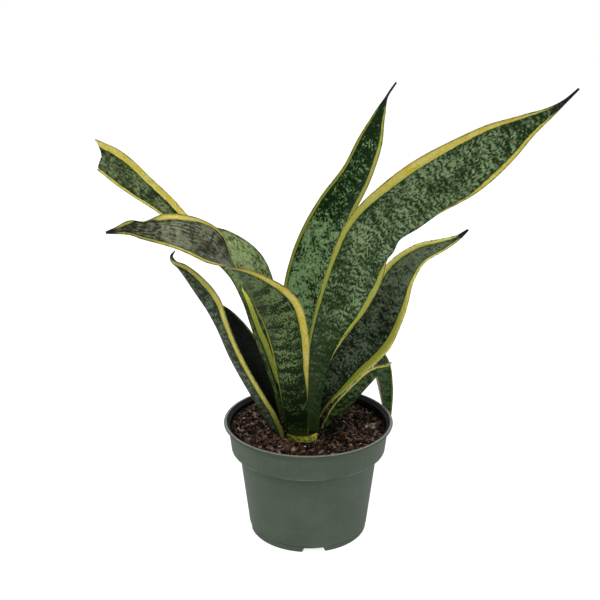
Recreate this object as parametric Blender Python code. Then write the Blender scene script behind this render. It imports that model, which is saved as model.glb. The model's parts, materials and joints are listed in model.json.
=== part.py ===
"""Potted snake plant: eight broad leaves in a six-inch nursery pot.

Metres, +Z up. The origin is the middle of the pot's underside, and the plant's
front leaf stands on the -Y side. The tables below are in millimetres, and each
mesh is scaled to metres as it is made.
"""

import math
from dataclasses import dataclass, replace

import bmesh
import bpy
from mathutils import Vector

MM = 0.001

# Pot, turned about Z
POT_HEIGHT = 105.0
RIM_RADIUS = 76.0
RIM_INNER_RADIUS = 73.0
RIM_THICKNESS = 2.2
COLLAR_TOP_RADIUS = 72.2
COLLAR_FOOT_RADIUS = 69.5
COLLAR_FOOT = 79.4
SHOULDER_RADIUS = 62.6
SHOULDER = 77.6
FOOT_LINE = 6.0
FOOT_RADIUS = 54.2
BASE_RADIUS = 53.3
FOOT_STEP = 0.5
BASE_EDGE = 1.2
SHOULDER_FILLET = 0.9
COLLAR_EDGE = 0.5
LIP_FILLET = 0.9
WALL = 1.7
FLOOR = 2.0
FLOOR_FILLET = 1.2
POT_SEGMENTS = 64
SHARP_ANGLE = 35.0

# Drain notches through the foot of the pot
NOTCH_COUNT = 4
NOTCH_WIDTH = 21.0
NOTCH_TOP_WIDTH = 17.0
NOTCH_HEIGHT = 4.4
NOTCH_INNER_RADIUS = 44.0
NOTCH_OUTER_RADIUS = 60.0
NOTCH_BELOW = 1.0
NOTCH_FIRST_ANGLE = -85.0

# Soil
CLEARANCE = 0.35
SOIL_LEVEL = 99.0
SOIL_EDGE_RADIUS = 69.3
SOIL_EDGE_DROP = 0.8
SOIL_TILT = 0.03
HOLLOW_DEPTH = 4.0
HOLLOW_RADIUS = 42.0
PLANT_FOOT = (-2.0, -13.0)
SOIL_RINGS = 9
SOIL_SEGMENTS = 44

# Lumps in the soil: height, waves per millimetre along x and y in radians, and phase
SOIL_LUMPS = [
    (0.45, 0.31, 0.27, 0.9),
    (0.45, 0.31, -0.27, 1.7),
    (0.54, 0.53, -0.47, 2.1),
]

# Leaves
LEAF_STATIONS = 28
LEAF_ACROSS = 7
EDGE_THICKNESS = 1.0
BLADE_THICKNESS = 2.6
BASE_THICKNESS = 3.6
THICK_BASE_SHARE = 0.25
TIP_WIDTH = 0.3
TIP_THICKNESS = 0.5
TIP_TAPER = 0.35
LEAST_CURL = 2.0
TANGENT_STEP = 0.5

# Holes in the soil that the leaves stand in
BURIED_END = 84.0
SOCKET_TOP = 104.0

# Old leaf base in front of the plant: x, y, height of the top and thickness along it
SHEATH_LINE = [
    (-18.8, -18.0, 99.2, 1.4),
    (-17.4, -22.8, 100.2, 2.8),
    (-12.8, -26.8, 100.5, 4.0),
    (-5.8, -28.4, 100.6, 4.6),
    (0.8, -26.8, 100.5, 4.2),
    (5.1, -23.0, 100.3, 3.0),
    (7.2, -18.2, 99.4, 1.4),
]
SHEATH_STEPS = 14
SHEATH_TANGENT_STEP = 0.1

# Rounded section of the old leaf base: share of its half thickness outwards, depth below its top
SHEATH_SECTION = [(1.0, 1.6), (0.55, 0.4), (-0.2, 0.0), (-1.0, 0.8)]

# Plain colours, linear
POT_COLOUR = (0.085, 0.115, 0.082)
SOIL_COLOUR = (0.028, 0.018, 0.013)
LEAF_COLOUR = (0.045, 0.095, 0.040)
SHEATH_COLOUR = (0.36, 0.36, 0.10)
CUTTER_COLOUR = (1.0, 0.0, 0.0)

# How far the torn leaf's end reaches past its last section: left, midrib, right
TORN_END = (-9.0, -5.5, 7.0)
TORN_FROM = 0.88
TORN_HOLLOW = 1.5


@dataclass(frozen=True)
class Frame:
    """One computed section of a leaf: its place, its directions and its bend."""

    spot: Vector
    tangent: Vector
    facing: Vector
    widths: Vector
    curls: Vector
    along: float


@dataclass(frozen=True)
class Station:
    """One section of a leaf, in millimetres and degrees.

    The midrib passes through (x, y, z). left and right are the blade's widths
    on each side of the midrib, measured along the blade and seen from its
    inner face with the tip up. facing is the direction the inner face looks.
    curl_left and curl_right are how far each side bends towards that face, and
    fold is how far both sides are creased towards it at the midrib.
    """

    x: float
    y: float
    z: float
    left: float
    right: float
    facing: tuple
    curl_left: float
    curl_right: float
    fold: float = 0.0


LEAVES = {
    "leaf_tall": [
        Station(-1, 4, 84, 7, 7, (0, -1, 0), 55, 55),
        Station(-2, 4.5, 98, 8, 8, (0, -1, 0), 55, 55),
        Station(-6, 12.5, 161.5, 15.1, 15.1, (0, -1, 0.1), 45, 45),
        Station(-2, 22.5, 217, 21.2, 21.2, (0, -1, 0.1), 35, 35),
        Station(7, 30, 252, 20.8, 20.8, (0, -1, 0.1), 32, 32),
        Station(22.5, 38.5, 287.5, 17.4, 17.4, (0, -1, 0.1), 30, 30),
        Station(42.5, 46.5, 319.5, 13.4, 13.4, (0, -1, 0.1), 30, 30),
        Station(55, 53.5, 347.5, 10.9, 9.8, (0, -1, 0.1), 30, 30),
        Station(62.5, 58, 368.5, 5.4, 4.2, (0, -1, 0.1), 35, 35),
        Station(69, 62, 385, 1.4, 1.4, (0, -1, 0.1), 30, 30),
        Station(76.5, 64, 396, 0.4, 0.4, (0, -1, 0.1), 20, 20),
    ],
    "leaf_wide": [
        Station(3, -6, 84, 7, 6, (0, -1, 0), 55, 55),
        Station(3, -6.5, 98, 8, 6.5, (0, -1, 0), 55, 55),
        Station(6, -7, 135.5, 10, 6.5, (0, -1, 0), 50, 50),
        Station(12, -6.5, 177, 14, 11.5, (0, -1, 0), 45, 45),
        Station(27, -5, 219.5, 19.5, 24, (0, -1, 0.1), 35, 35),
        Station(41.5, -1.5, 252, 23.5, 23.6, (0, -1, 0.1), 28, 30),
        Station(49.5, -0.5, 267.5, 25.5, 20.4, (0, -1, 0.1), 26, 30),
        Station(61, 0.5, 282.5, 26.8, 18.8, (0, -1, 0.1), 26, 28),
        Station(77, 0.5, 299, 25.8, 23, (0, -1, 0.1), 24, 25),
        Station(93.5, 0, 313.5, 24.7, 24.4, (0, -1, 0.1), 22, 22),
        Station(128.5, -1, 333.5, 24.8, 23.4, (0, -1, 0.1), 20, 20),
        Station(159, -2, 354.5, 18.4, 16.8, (0, -1, 0.1), 22, 22),
        Station(179, -3, 368.5, 9.7, 9.2, (0, -1, 0.1), 25, 25),
        Station(196.5, -4, 379.5, 3.6, 3.6, (0, -1, 0.1), 25, 25),
        Station(207, -4, 387.5, 1.2, 1.2, (0, -1, 0.1), 20, 20),
        Station(217.5, -5, 398, 0.4, 0.4, (0, -1, 0.1), 20, 20),
    ],
    "leaf_right": [
        Station(4.5, 9, 84, 5.5, 5, (-0.8, -0.6, 0.1), 50, 50),
        Station(6, 8.6, 98, 7, 5.5, (-0.8, -0.6, 0.1), 50, 50),
        Station(21, 7, 125.5, 15, 11, (-0.7, -0.7, 0.3), 50, 50),
        Station(40, 10, 152, 22, 16, (-0.6, -0.8, 0.3), 45, 45),
        Station(61.5, 13.5, 179.5, 24, 21, (-0.6, -0.8, 0.3), 40, 40),
        Station(74.5, 16, 209, 21.5, 19.1, (-0.6, -0.8, 0.3), 40, 40),
        Station(83, 17, 233.5, 18, 15.1, (-0.5, -0.8, 0.4), 45, 45),
        Station(97, 15.5, 252.5, 11, 10.1, (-0.4, -0.8, 0.5), 50, 50),
        Station(116.5, 13.5, 263, 5.4, 6.1, (-0.4, -0.8, 0.5), 50, 50),
        Station(129, 12.5, 270, 2, 2, (-0.4, -0.8, 0.5), 30, 30),
        Station(137, 12, 277, 0.4, 0.4, (-0.5, -0.8, 0.4), 20, 20),
    ],
    "leaf_front": [
        Station(-8, -19, 84, 9, 9, (0, 1, 0), 60, 60),
        Station(-9, -20, 98, 9.5, 9.5, (0, 1, 0), 60, 60),
        Station(-12, -24.5, 130, 12, 12, (0, 1, 0), 50, 50),
        Station(-14, -29.5, 159.5, 14.5, 14.5, (0, 1, 0), 40, 40),
        Station(-18, -34.5, 194, 17.9, 17.9, (0.15, 1, 0.1), 35, 35),
        Station(-27, -39, 221.5, 20.4, 20.4, (0.3, 0.92, 0.2), 28, 28),
        Station(-42, -40, 239.5, 20.9, 20.9, (0.55, 0.7, 0.45), 20, 20),
        Station(-61.5, -38, 256.5, 20.3, 21.5, (0.63, 0.25, 0.74), 18, 18),
        Station(-81.5, -40, 275, 18.8, 20, (0.4, -0.52, 0.73), 24, 24),
        Station(-101, -43.5, 285, 15, 17.8, (0.28, -0.7, 0.63), 30, 30),
        Station(-123, -48, 290, 10, 12.9, (0.15, -0.8, 0.55), 36, 36),
        Station(-131.5, -49.5, 292, 8.9, 7.9, (0.12, -0.82, 0.52), 38, 38),
        Station(-143.5, -51, 293, 4.9, 6.4, (0.1, -0.85, 0.5), 40, 40),
        Station(-153.5, -53, 292, 2, 2.5, (0, -0.9, 0.5), 30, 30),
        Station(-161.5, -54, 291, 0.4, 0.4, (0, -0.9, 0.5), 20, 20),
    ],
    "leaf_torn": [
        Station(-15, -1, 84, 7, 7, (0.7, -0.7, 0), 50, 50),
        Station(-16, -1, 98, 8, 6.5, (0.7, -0.7, 0), 50, 50),
        Station(-19.5, -3, 114, 9, 7.5, (0.7, -0.7, 0), 70, 50),
        Station(-31.7, -9, 157.2, 12.5, 12, (0.7, -0.7, 0.1), 90, 45),
        Station(-43.7, -8, 193.2, 14, 19, (0.7, -0.7, 0.2), 90, 40),
        Station(-52, 2, 222.1, 14.5, 24, (0.5, -0.8, 0.3), 70, 35),
        Station(-60.8, 12, 242, 12.6, 23, (0.3, -0.9, 0.3), 40, 30),
        Station(-77.5, 20.5, 258.5, 12.8, 17, (0.25, -0.9, 0.4), 30, 30),
        Station(-101, 26, 274, 10, 6.5, (0.2, -0.9, 0.4), 25, 25),
        Station(-127, 32.5, 295, 8.8, 9, (0.15, -0.95, 0.3), 25, 25),
        Station(-145, 37, 308, 10.6, 11.4, (0.1, -1, 0.2), 25, 25),
        Station(-169.5, 43, 326, 12, 14, (0.1, -1, 0.2), 25, 25),
        Station(-186, 47, 336, 10.5, 10.9, (0.1, -1, 0.2), 25, 25),
    ],
    "leaf_left": [
        Station(-26, -7.5, 84, 10.5, 5, (0.9, -0.3, 0.1), 80, 30, 15),
        Station(-29.5, -7.5, 96, 12.5, 7, (0.85, -0.37, 0.4), 70, 30, 30),
        Station(-37, -6.5, 110, 15, 12.5, (0.81, -0.37, 0.46), 50, 30, 42),
        Station(-50, -6, 132.5, 17, 21, (0.81, -0.37, 0.46), 36, 30, 47),
        Station(-67, -7.5, 167, 17.9, 26.5, (0.82, -0.33, 0.47), 30, 30, 45),
        Station(-80, -10, 200.5, 17.4, 17.5, (0.87, -0.1, 0.5), 30, 30, 36),
        Station(-89, -11, 217, 16.4, 9, (0.82, 0.25, 0.5), 30, 30, 38),
        Station(-97.5, -12.5, 232.5, 12.6, 5.5, (0.75, 0.45, 0.45), 30, 30, 38),
        Station(-107.5, -13.5, 249.5, 6.2, 2.8, (0.75, 0.45, 0.45), 30, 30, 30),
        Station(-114.8, -14.5, 260.5, 2.2, 1.8, (0.9, 0, 0.3), 30, 30),
        Station(-112, -15, 265, 0.5, 0.5, (0.5, 0, -0.8), 20, 20),
    ],
    "leaf_short": [
        Station(14, 6.5, 84, 5, 6, (-0.95, 0, 0.1), 40, 40, 8),
        Station(16.2, 5.5, 97, 6, 6, (-0.9, 0.15, 0.4), 40, 40, 15),
        Station(26.5, 2.5, 107, 11, 12, (-0.72, 0.26, 0.64), 30, 30, 30),
        Station(41, 0, 124, 12, 15, (-0.72, 0.26, 0.64), 30, 30, 32),
        Station(54, 0, 140, 10, 12, (-0.72, 0.26, 0.64), 30, 30, 32),
        Station(65, 0, 153, 5, 5.5, (-0.72, 0.26, 0.64), 30, 30, 30),
        Station(73, -1, 160, 0.5, 0.5, (-0.6, 0.3, 0.7), 20, 20),
    ],
    "leaf_hanging": [
        Station(-9, 14.5, 84, 6.5, 6.5, (-0.3, -1, 0), 50, 50),
        Station(-8, 15, 98, 7.5, 7.5, (-0.3, -1, 0), 50, 50),
        Station(-3, 23, 131, 11, 11, (-0.6, -0.6, 0.3), 45, 45),
        Station(17, 38, 155, 14, 14, (-0.4, -0.3, 0.9), 35, 35),
        Station(43, 52, 161, 15, 15, (0.2, 0.1, 1), 25, 25),
        Station(64, 59, 145, 15.5, 13, (0.8, 0.6, 0.6), 20, 20),
        Station(73, 66, 113, 14, 11, (0.8, 0.6, 0.1), 20, 20),
        Station(77, 71, 85, 8, 6.5, (0.8, 0.6, 0), 20, 20),
        Station(79, 75, 66, 2, 2, (0.8, 0.6, 0), 20, 20),
        Station(79, 76, 60, 0.5, 0.5, (0.8, 0.6, 0), 20, 20),
    ],
}


def clear_scene():
    """Remove what the file opened with."""
    for thing in list(bpy.data.objects):
        bpy.data.objects.remove(thing, do_unlink=True)


def finish(name, colour, roughness, metallic=0.0):
    """Make a Principled material."""
    material = bpy.data.materials.new(name)
    material.use_nodes = True
    shader = material.node_tree.nodes["Principled BSDF"]
    shader.inputs["Base Color"].default_value = (*colour, 1.0)
    shader.inputs["Roughness"].default_value = roughness
    shader.inputs["Metallic"].default_value = metallic
    return material


def place(name, mesh, material):
    """Put a mesh into the scene as a named object with its material."""
    thing = bpy.data.objects.new(name, mesh)
    bpy.context.scene.collection.objects.link(thing)
    mesh.materials.append(material)
    return thing


def mesh_of(name, form):
    """Turn a bmesh drawn in millimetres into a mesh in metres."""
    bmesh.ops.scale(form, vec=(MM, MM, MM), verts=form.verts)
    bmesh.ops.recalc_face_normals(form, faces=form.faces)
    mesh = bpy.data.meshes.new(name)
    form.to_mesh(mesh)
    form.free()
    mesh.shade_smooth()
    return mesh


def arc(centre, radius, start, end, count):
    """Points of an arc in the (r, z) plane, angles in degrees."""
    points = []
    for step in range(count + 1):
        angle = math.radians(start + (end - start) * step / count)
        points.append((centre[0] + radius * math.cos(angle), centre[1] + radius * math.sin(angle)))
    return points


def turned(name, profile, material, segments):
    """Spin an (r, z) profile that starts and ends on the Z axis."""
    form = bmesh.new()
    corners = [form.verts.new((r, 0.0, z)) for r, z in profile]
    edges = [form.edges.new(pair) for pair in zip(corners, corners[1:])]
    bmesh.ops.spin(form, geom=corners + edges, axis=(0, 0, 1), cent=(0, 0, 0), angle=math.tau,
                   steps=segments, use_merge=True)
    bmesh.ops.remove_doubles(form, verts=form.verts, dist=0.01)
    mesh = mesh_of(name, form)
    mesh.set_sharp_from_angle(angle=math.radians(SHARP_ANGLE))
    return place(name, mesh, material)


def cut(thing, cutter):
    """Take a cutter's shape out of a thing, and leave the cutter out of the model."""
    cutter.hide_render = True
    cutter.display_type = "WIRE"
    boolean = thing.modifiers.new(f"cut {cutter.name}", "BOOLEAN")
    boolean.operation = "DIFFERENCE"
    boolean.object = cutter


def inner_wall():
    """The pot's inner wall as (r, z) points, from the rim's inner edge down to the floor."""
    return [
        (COLLAR_TOP_RADIUS - WALL, POT_HEIGHT - RIM_THICKNESS - LIP_FILLET),
        (COLLAR_FOOT_RADIUS - WALL, COLLAR_FOOT + WALL),
        (SHOULDER_RADIUS - WALL, SHOULDER + WALL),
        (FOOT_RADIUS - WALL, FOOT_LINE),
        (BASE_RADIUS - WALL, FLOOR + FLOOR_FILLET),
        (BASE_RADIUS - WALL - FLOOR_FILLET, FLOOR),
    ]


def make_pot(material):
    """The nursery pot: foot, tapered body, collar and rolled rim in one wall."""
    half = RIM_THICKNESS / 2
    lip_centre = (RIM_RADIUS - half, POT_HEIGHT - half)
    profile = [(0, 0)] + arc((BASE_RADIUS - BASE_EDGE, BASE_EDGE), BASE_EDGE, -90, 0, 3)
    profile += [(FOOT_RADIUS - FOOT_STEP, FOOT_LINE), (FOOT_RADIUS, FOOT_LINE + FOOT_STEP)]
    profile += [(SHOULDER_RADIUS, SHOULDER), (SHOULDER_RADIUS + SHOULDER_FILLET, SHOULDER + SHOULDER_FILLET)]
    profile += [(COLLAR_FOOT_RADIUS - COLLAR_EDGE, COLLAR_FOOT - COLLAR_EDGE)]
    profile += [(COLLAR_FOOT_RADIUS, COLLAR_FOOT)]
    profile += [(COLLAR_TOP_RADIUS, POT_HEIGHT - RIM_THICKNESS - LIP_FILLET)]
    profile += [(COLLAR_TOP_RADIUS + LIP_FILLET, POT_HEIGHT - RIM_THICKNESS)]
    profile += arc(lip_centre, half, -90, 90, 6)
    profile += [(RIM_INNER_RADIUS + COLLAR_EDGE, POT_HEIGHT), (RIM_INNER_RADIUS, POT_HEIGHT - COLLAR_EDGE)]
    profile += inner_wall() + [(0, FLOOR)]
    pot = turned("pot", profile, material, POT_SEGMENTS)
    for number in range(NOTCH_COUNT):
        cut(pot, notch_cutter(number))
    return pot


def notch_cutter(number):
    """One drain notch, a wedge with sloped ends that opens outwards."""
    low, high = NOTCH_WIDTH / 2, NOTCH_TOP_WIDTH / 2
    outline = [(-low, -NOTCH_BELOW), (low, -NOTCH_BELOW), (low, 0.0)]
    outline += [(high, NOTCH_HEIGHT), (-high, NOTCH_HEIGHT), (-low, 0.0)]
    form = bmesh.new()
    face = form.faces.new([form.verts.new((NOTCH_INNER_RADIUS, y, z)) for y, z in outline])
    run = bmesh.ops.extrude_face_region(form, geom=[face])
    moved = [item for item in run["geom"] if isinstance(item, bmesh.types.BMVert)]
    bmesh.ops.translate(form, verts=moved, vec=(NOTCH_OUTER_RADIUS - NOTCH_INNER_RADIUS, 0, 0))
    marker = finish("notch", CUTTER_COLOUR, 0.5)
    cutter = place(f"notch_cutter_{number}", mesh_of("notch_cutter", form), marker)
    cutter.rotation_euler.z = math.radians(NOTCH_FIRST_ANGLE + 360 * number / NOTCH_COUNT)
    return cutter


def soil_height(x, y):
    """Height of the soil's surface: a gentle tilt and a shallow hollow round the plant, with lumps."""
    reach = math.hypot(x - PLANT_FOOT[0], y - PLANT_FOOT[1]) / HOLLOW_RADIUS
    hollow = HOLLOW_DEPTH * math.exp(-reach * reach)
    edge = SOIL_EDGE_DROP * (math.hypot(x, y) / COLLAR_FOOT_RADIUS) ** 6
    lumps = sum(height * math.sin(x * wave_x + y * wave_y + phase)
                for height, wave_x, wave_y, phase in SOIL_LUMPS)
    return SOIL_LEVEL - SOIL_TILT * x - hollow - edge + lumps


def make_soil(material):
    """The potting mix, one solid inside the pot's wall with a lumpy top."""
    wall = [(r - CLEARANCE, z + CLEARANCE) for r, z in inner_wall()]
    wall[0] = (SOIL_EDGE_RADIUS, SOIL_LEVEL - SOIL_EDGE_DROP)
    profile = [(0, FLOOR + CLEARANCE)] + wall[::-1]
    for ring in range(SOIL_RINGS - 1, -1, -1):
        profile.append((wall[0][0] * ring / SOIL_RINGS, SOIL_LEVEL))
    soil = turned("soil", profile, material, SOIL_SEGMENTS)
    for vertex in soil.data.vertices:
        if vertex.co.z > (SOIL_LEVEL - 2 * SOIL_EDGE_DROP) * MM:
            vertex.co.z = soil_height(vertex.co.x / MM, vertex.co.y / MM) * MM
    return soil


def slope(knots, values, index):
    """Tangent of a smooth curve through the values, at one knot."""
    if index == 0:
        return (values[1] - values[0]) / (knots[1] - knots[0])
    if index == len(knots) - 1:
        return (values[-1] - values[-2]) / (knots[-1] - knots[-2])
    before = (values[index] - values[index - 1]) / (knots[index] - knots[index - 1])
    after = (values[index + 1] - values[index]) / (knots[index + 1] - knots[index])
    span_before = knots[index] - knots[index - 1]
    span_after = knots[index + 1] - knots[index]
    return (before * span_after + after * span_before) / (span_before + span_after)


def between(knots, values, place_along):
    """Read a smooth curve through the values at a place along the knots."""
    index = 0
    while index < len(knots) - 2 and knots[index + 1] < place_along:
        index += 1
    span = knots[index + 1] - knots[index]
    t = (place_along - knots[index]) / span
    start, end = values[index], values[index + 1]
    out, into = slope(knots, values, index) * span, slope(knots, values, index + 1) * span
    return (start * (2 * t ** 3 - 3 * t ** 2 + 1) + out * (t ** 3 - 2 * t ** 2 + t)
            + end * (3 * t ** 2 - 2 * t ** 3) + into * (t ** 3 - t ** 2))


def leaf_frames(stations, count=LEAF_STATIONS):
    """Compute evenly spaced sections along a leaf from its stations."""
    points = [Vector((s.x, s.y, s.z)) for s in stations]
    knots = [0.0]
    for here, after in zip(points, points[1:]):
        knots.append(knots[-1] + (after - here).length)
    facings = [Vector(s.facing).normalized() for s in stations]
    widths = [Vector((s.left, s.right)) for s in stations]
    curls = [Vector((s.curl_left, s.curl_right, s.fold)) for s in stations]
    frames = []
    for step in range(count):
        along = knots[-1] * step / (count - 1)
        spot = between(knots, points, along)
        ahead = between(knots, points, min(along + TANGENT_STEP, knots[-1]))
        behind = between(knots, points, max(along - TANGENT_STEP, 0.0))
        tangent = (ahead - behind).normalized()
        facing = between(knots, facings, along)
        facing = (facing - tangent * facing.dot(tangent)).normalized()
        frames.append(Frame(spot, tangent, facing, between(knots, widths, along),
                            between(knots, curls, along), along / knots[-1]))
    return frames


def torn_reach(s, along):
    """How far a point of the torn leaf is drawn along the leaf near its end."""
    left, middle, right = TORN_END
    side = left if s > 0 else right
    fade = max(0.0, (along - TORN_FROM) / (1 - TORN_FROM))
    return (middle + (side - middle) * abs(s) ** TORN_HOLLOW) * fade


def section(frame, grow, torn=False):
    """Closed outline of a leaf across its midrib, inner face first, enlarged by grow."""
    facing, widths = frame.facing, frame.widths
    across = facing.cross(frame.tangent)
    at_base = max(0.0, 1 - frame.along / THICK_BASE_SHARE)
    middle = BLADE_THICKNESS + (BASE_THICKNESS - BLADE_THICKNESS) * at_base
    narrowest = TIP_TAPER * (widths[0] + widths[1]) + TIP_THICKNESS
    crease = math.radians(frame.curls[2])
    inner, outer = [], []
    for column in range(LEAF_ACROSS):
        s = 1 - 2 * column / (LEAF_ACROSS - 1)
        width = max(widths[0] if s > 0 else widths[1], TIP_WIDTH)
        curl = math.radians(max(frame.curls[0] if s > 0 else frame.curls[1], LEAST_CURL))
        side = (s > 0) - (s < 0)
        turn = crease + curl * abs(s) * (width + grow) / width
        radius = width / curl
        outward = side * radius * (math.sin(turn) - math.sin(crease))
        inward = radius * (math.cos(crease) - math.cos(turn))
        point = frame.spot + across * outward + facing * inward
        if torn:
            point += frame.tangent * torn_reach(s, frame.along)
        turn = turn if side else 0.0
        normal = facing * math.cos(turn) - across * (side * math.sin(turn))
        thick = min(EDGE_THICKNESS + (middle - EDGE_THICKNESS) * (1 - s * s), narrowest)
        inner.append(point + normal * grow)
        outer.append(point - normal * (thick + grow))
    return inner + outer[::-1]


def blade(name, frames, material, grow=0.0):
    """A closed leaf blade through its frames, with its two faces split into triangles alike."""
    form = bmesh.new()
    torn = name == "leaf_torn"
    rings = [[form.verts.new(point) for point in section(frame, grow, torn)] for frame in frames]
    size = len(rings[0])
    for low, high in zip(rings, rings[1:]):
        for k in range(size):
            a, b, c, d = low[k], low[(k + 1) % size], high[(k + 1) % size], high[k]
            halves = ((a, b, c), (a, c, d)) if k < LEAF_ACROSS - 1 else ((a, b, d), (b, c, d))
            for half in halves:
                form.faces.new(half)
    for ring in (rings[0], rings[-1]):
        for k in range(LEAF_ACROSS - 1):
            form.faces.new((ring[k], ring[k + 1], ring[size - 2 - k], ring[size - 1 - k]))
    return place(name, mesh_of(name, form), material)


def socket_frames(frames):
    """The sections of a leaf that stand in the soil, started lower by the clearance."""
    count = 1 + next(k for k, frame in enumerate(frames) if frame.spot.z > SOCKET_TOP)
    start = replace(frames[0], spot=frames[0].spot - frames[0].tangent * CLEARANCE)
    return [start] + frames[1:count]


def sheath(name, material, grow=0.0):
    """The old leaf base, an upright crescent; with grow, the solid that cuts its socket."""
    points = [Vector(row[:2]) for row in SHEATH_LINE]
    tops = [Vector(row[2:]) for row in SHEATH_LINE]
    knots = list(range(len(SHEATH_LINE)))
    bottom = BURIED_END - grow
    form = bmesh.new()
    rings = []
    for step in range(SHEATH_STEPS + 1):
        along = knots[-1] * step / SHEATH_STEPS
        spot = between(knots, points, along)
        ahead = between(knots, points, min(along + SHEATH_TANGENT_STEP, knots[-1]))
        behind = between(knots, points, max(along - SHEATH_TANGENT_STEP, 0.0))
        direction = (ahead - behind).normalized()
        outward = Vector((direction.y, -direction.x))
        top, thickness = between(knots, tops, along)
        half = thickness / 2 + grow
        spot += direction * grow * ((step == SHEATH_STEPS) - (step == 0))
        shape = [(side, top - drop) for side, drop in SHEATH_SECTION]
        if grow:
            shape = [(1.0, SOCKET_TOP), (-1.0, SOCKET_TOP)]
        shape = [(1.0, bottom)] + shape + [(-1.0, bottom)]
        rings.append([form.verts.new((*(spot + outward * half * side), z)) for side, z in shape])
    for low, high in zip(rings, rings[1:]):
        for k in range(len(low)):
            after = (k + 1) % len(low)
            form.faces.new((low[k], low[after], high[after], high[k]))
    form.faces.new(rings[0])
    form.faces.new(rings[-1])
    return place(name, mesh_of(name, form), material)


def main():
    """Build the pot, the soil, the old leaf base and the leaves in their holes."""
    clear_scene()
    plastic = finish("pot green plastic", POT_COLOUR, 0.45)
    earth = finish("potting soil", SOIL_COLOUR, 0.95)
    marker = finish("cutter", CUTTER_COLOUR, 0.5)
    make_pot(plastic)
    soil = make_soil(earth)
    sheath("base_sheath", finish("base sheath yellow-green", SHEATH_COLOUR, 0.5))
    cut(soil, sheath("sheath_socket", marker, CLEARANCE))
    for name, stations in LEAVES.items():
        frames = leaf_frames(stations)
        blade(name, frames, finish(f"{name} green".replace("_", " "), LEAF_COLOUR, 0.38))
        cut(soil, blade(f"{name}_socket", socket_frames(frames), marker, CLEARANCE))


main()
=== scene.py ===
"""Looks of the potted snake plant: fine leaves, crumbly soil and a moulded nursery pot.

The tables of leaf stations are those of the CAD source, in millimetres and degrees,
and every mesh is made in metres. The leaves are drawn again with finer sections,
and carry attributes that say where the golden margins, the dark tips and the pale
parts of each leaf lie, so that the materials can draw their bands and streaks.
"""

import json
import logging
import math
import random
from dataclasses import dataclass
from enum import Enum
from functools import partial, reduce

import bmesh
import bpy
from mathutils import Euler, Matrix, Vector, noise
from mathutils.bvhtree import BVHTree

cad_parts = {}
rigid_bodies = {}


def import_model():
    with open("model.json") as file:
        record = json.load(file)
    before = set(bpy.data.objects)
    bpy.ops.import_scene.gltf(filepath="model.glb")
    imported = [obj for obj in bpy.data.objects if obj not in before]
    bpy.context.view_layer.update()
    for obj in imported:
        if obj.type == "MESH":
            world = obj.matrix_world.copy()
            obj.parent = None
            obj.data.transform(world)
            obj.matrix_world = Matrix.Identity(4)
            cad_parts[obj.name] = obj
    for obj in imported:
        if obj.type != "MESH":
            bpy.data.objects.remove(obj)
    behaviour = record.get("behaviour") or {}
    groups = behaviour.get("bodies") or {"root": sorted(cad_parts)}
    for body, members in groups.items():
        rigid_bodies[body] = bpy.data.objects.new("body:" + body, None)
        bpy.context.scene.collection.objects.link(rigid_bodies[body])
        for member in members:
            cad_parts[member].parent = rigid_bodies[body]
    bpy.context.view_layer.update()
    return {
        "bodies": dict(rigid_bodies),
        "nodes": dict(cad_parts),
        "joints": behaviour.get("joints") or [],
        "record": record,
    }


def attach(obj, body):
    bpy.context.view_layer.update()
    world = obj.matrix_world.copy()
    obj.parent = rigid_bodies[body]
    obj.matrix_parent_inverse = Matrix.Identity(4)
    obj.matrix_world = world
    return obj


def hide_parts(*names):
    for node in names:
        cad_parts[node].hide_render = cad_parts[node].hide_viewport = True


MM = 0.001
BODY = "root"

log = logging.getLogger("potted_plant")

Pair = tuple[float, float]
Triple = tuple[float, float, float]
Quad = tuple[float, float, float, float]
Colour = Triple
Track = tuple[Triple, ...]
Socket = bpy.types.NodeSocket


class Side(Enum):
    """The two sides of a leaf, seen from its inner face with the tip up."""

    LEFT = 1
    RIGHT = -1


class Face(Enum):
    """The two faces of a leaf, as the materials tell them apart."""

    INNER = 0.0
    OUTER = 1.0


def srgb(red: int, green: int, blue: int) -> Colour:
    """Turn a colour given as screen values, 0 to 255, into linear light."""
    shares = (value / 255 for value in (red, green, blue))
    return tuple(share / 12.92 if share <= 0.04045 else ((share + 0.055) / 1.055) ** 2.4 for share in shares)


# Node wiring


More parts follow.
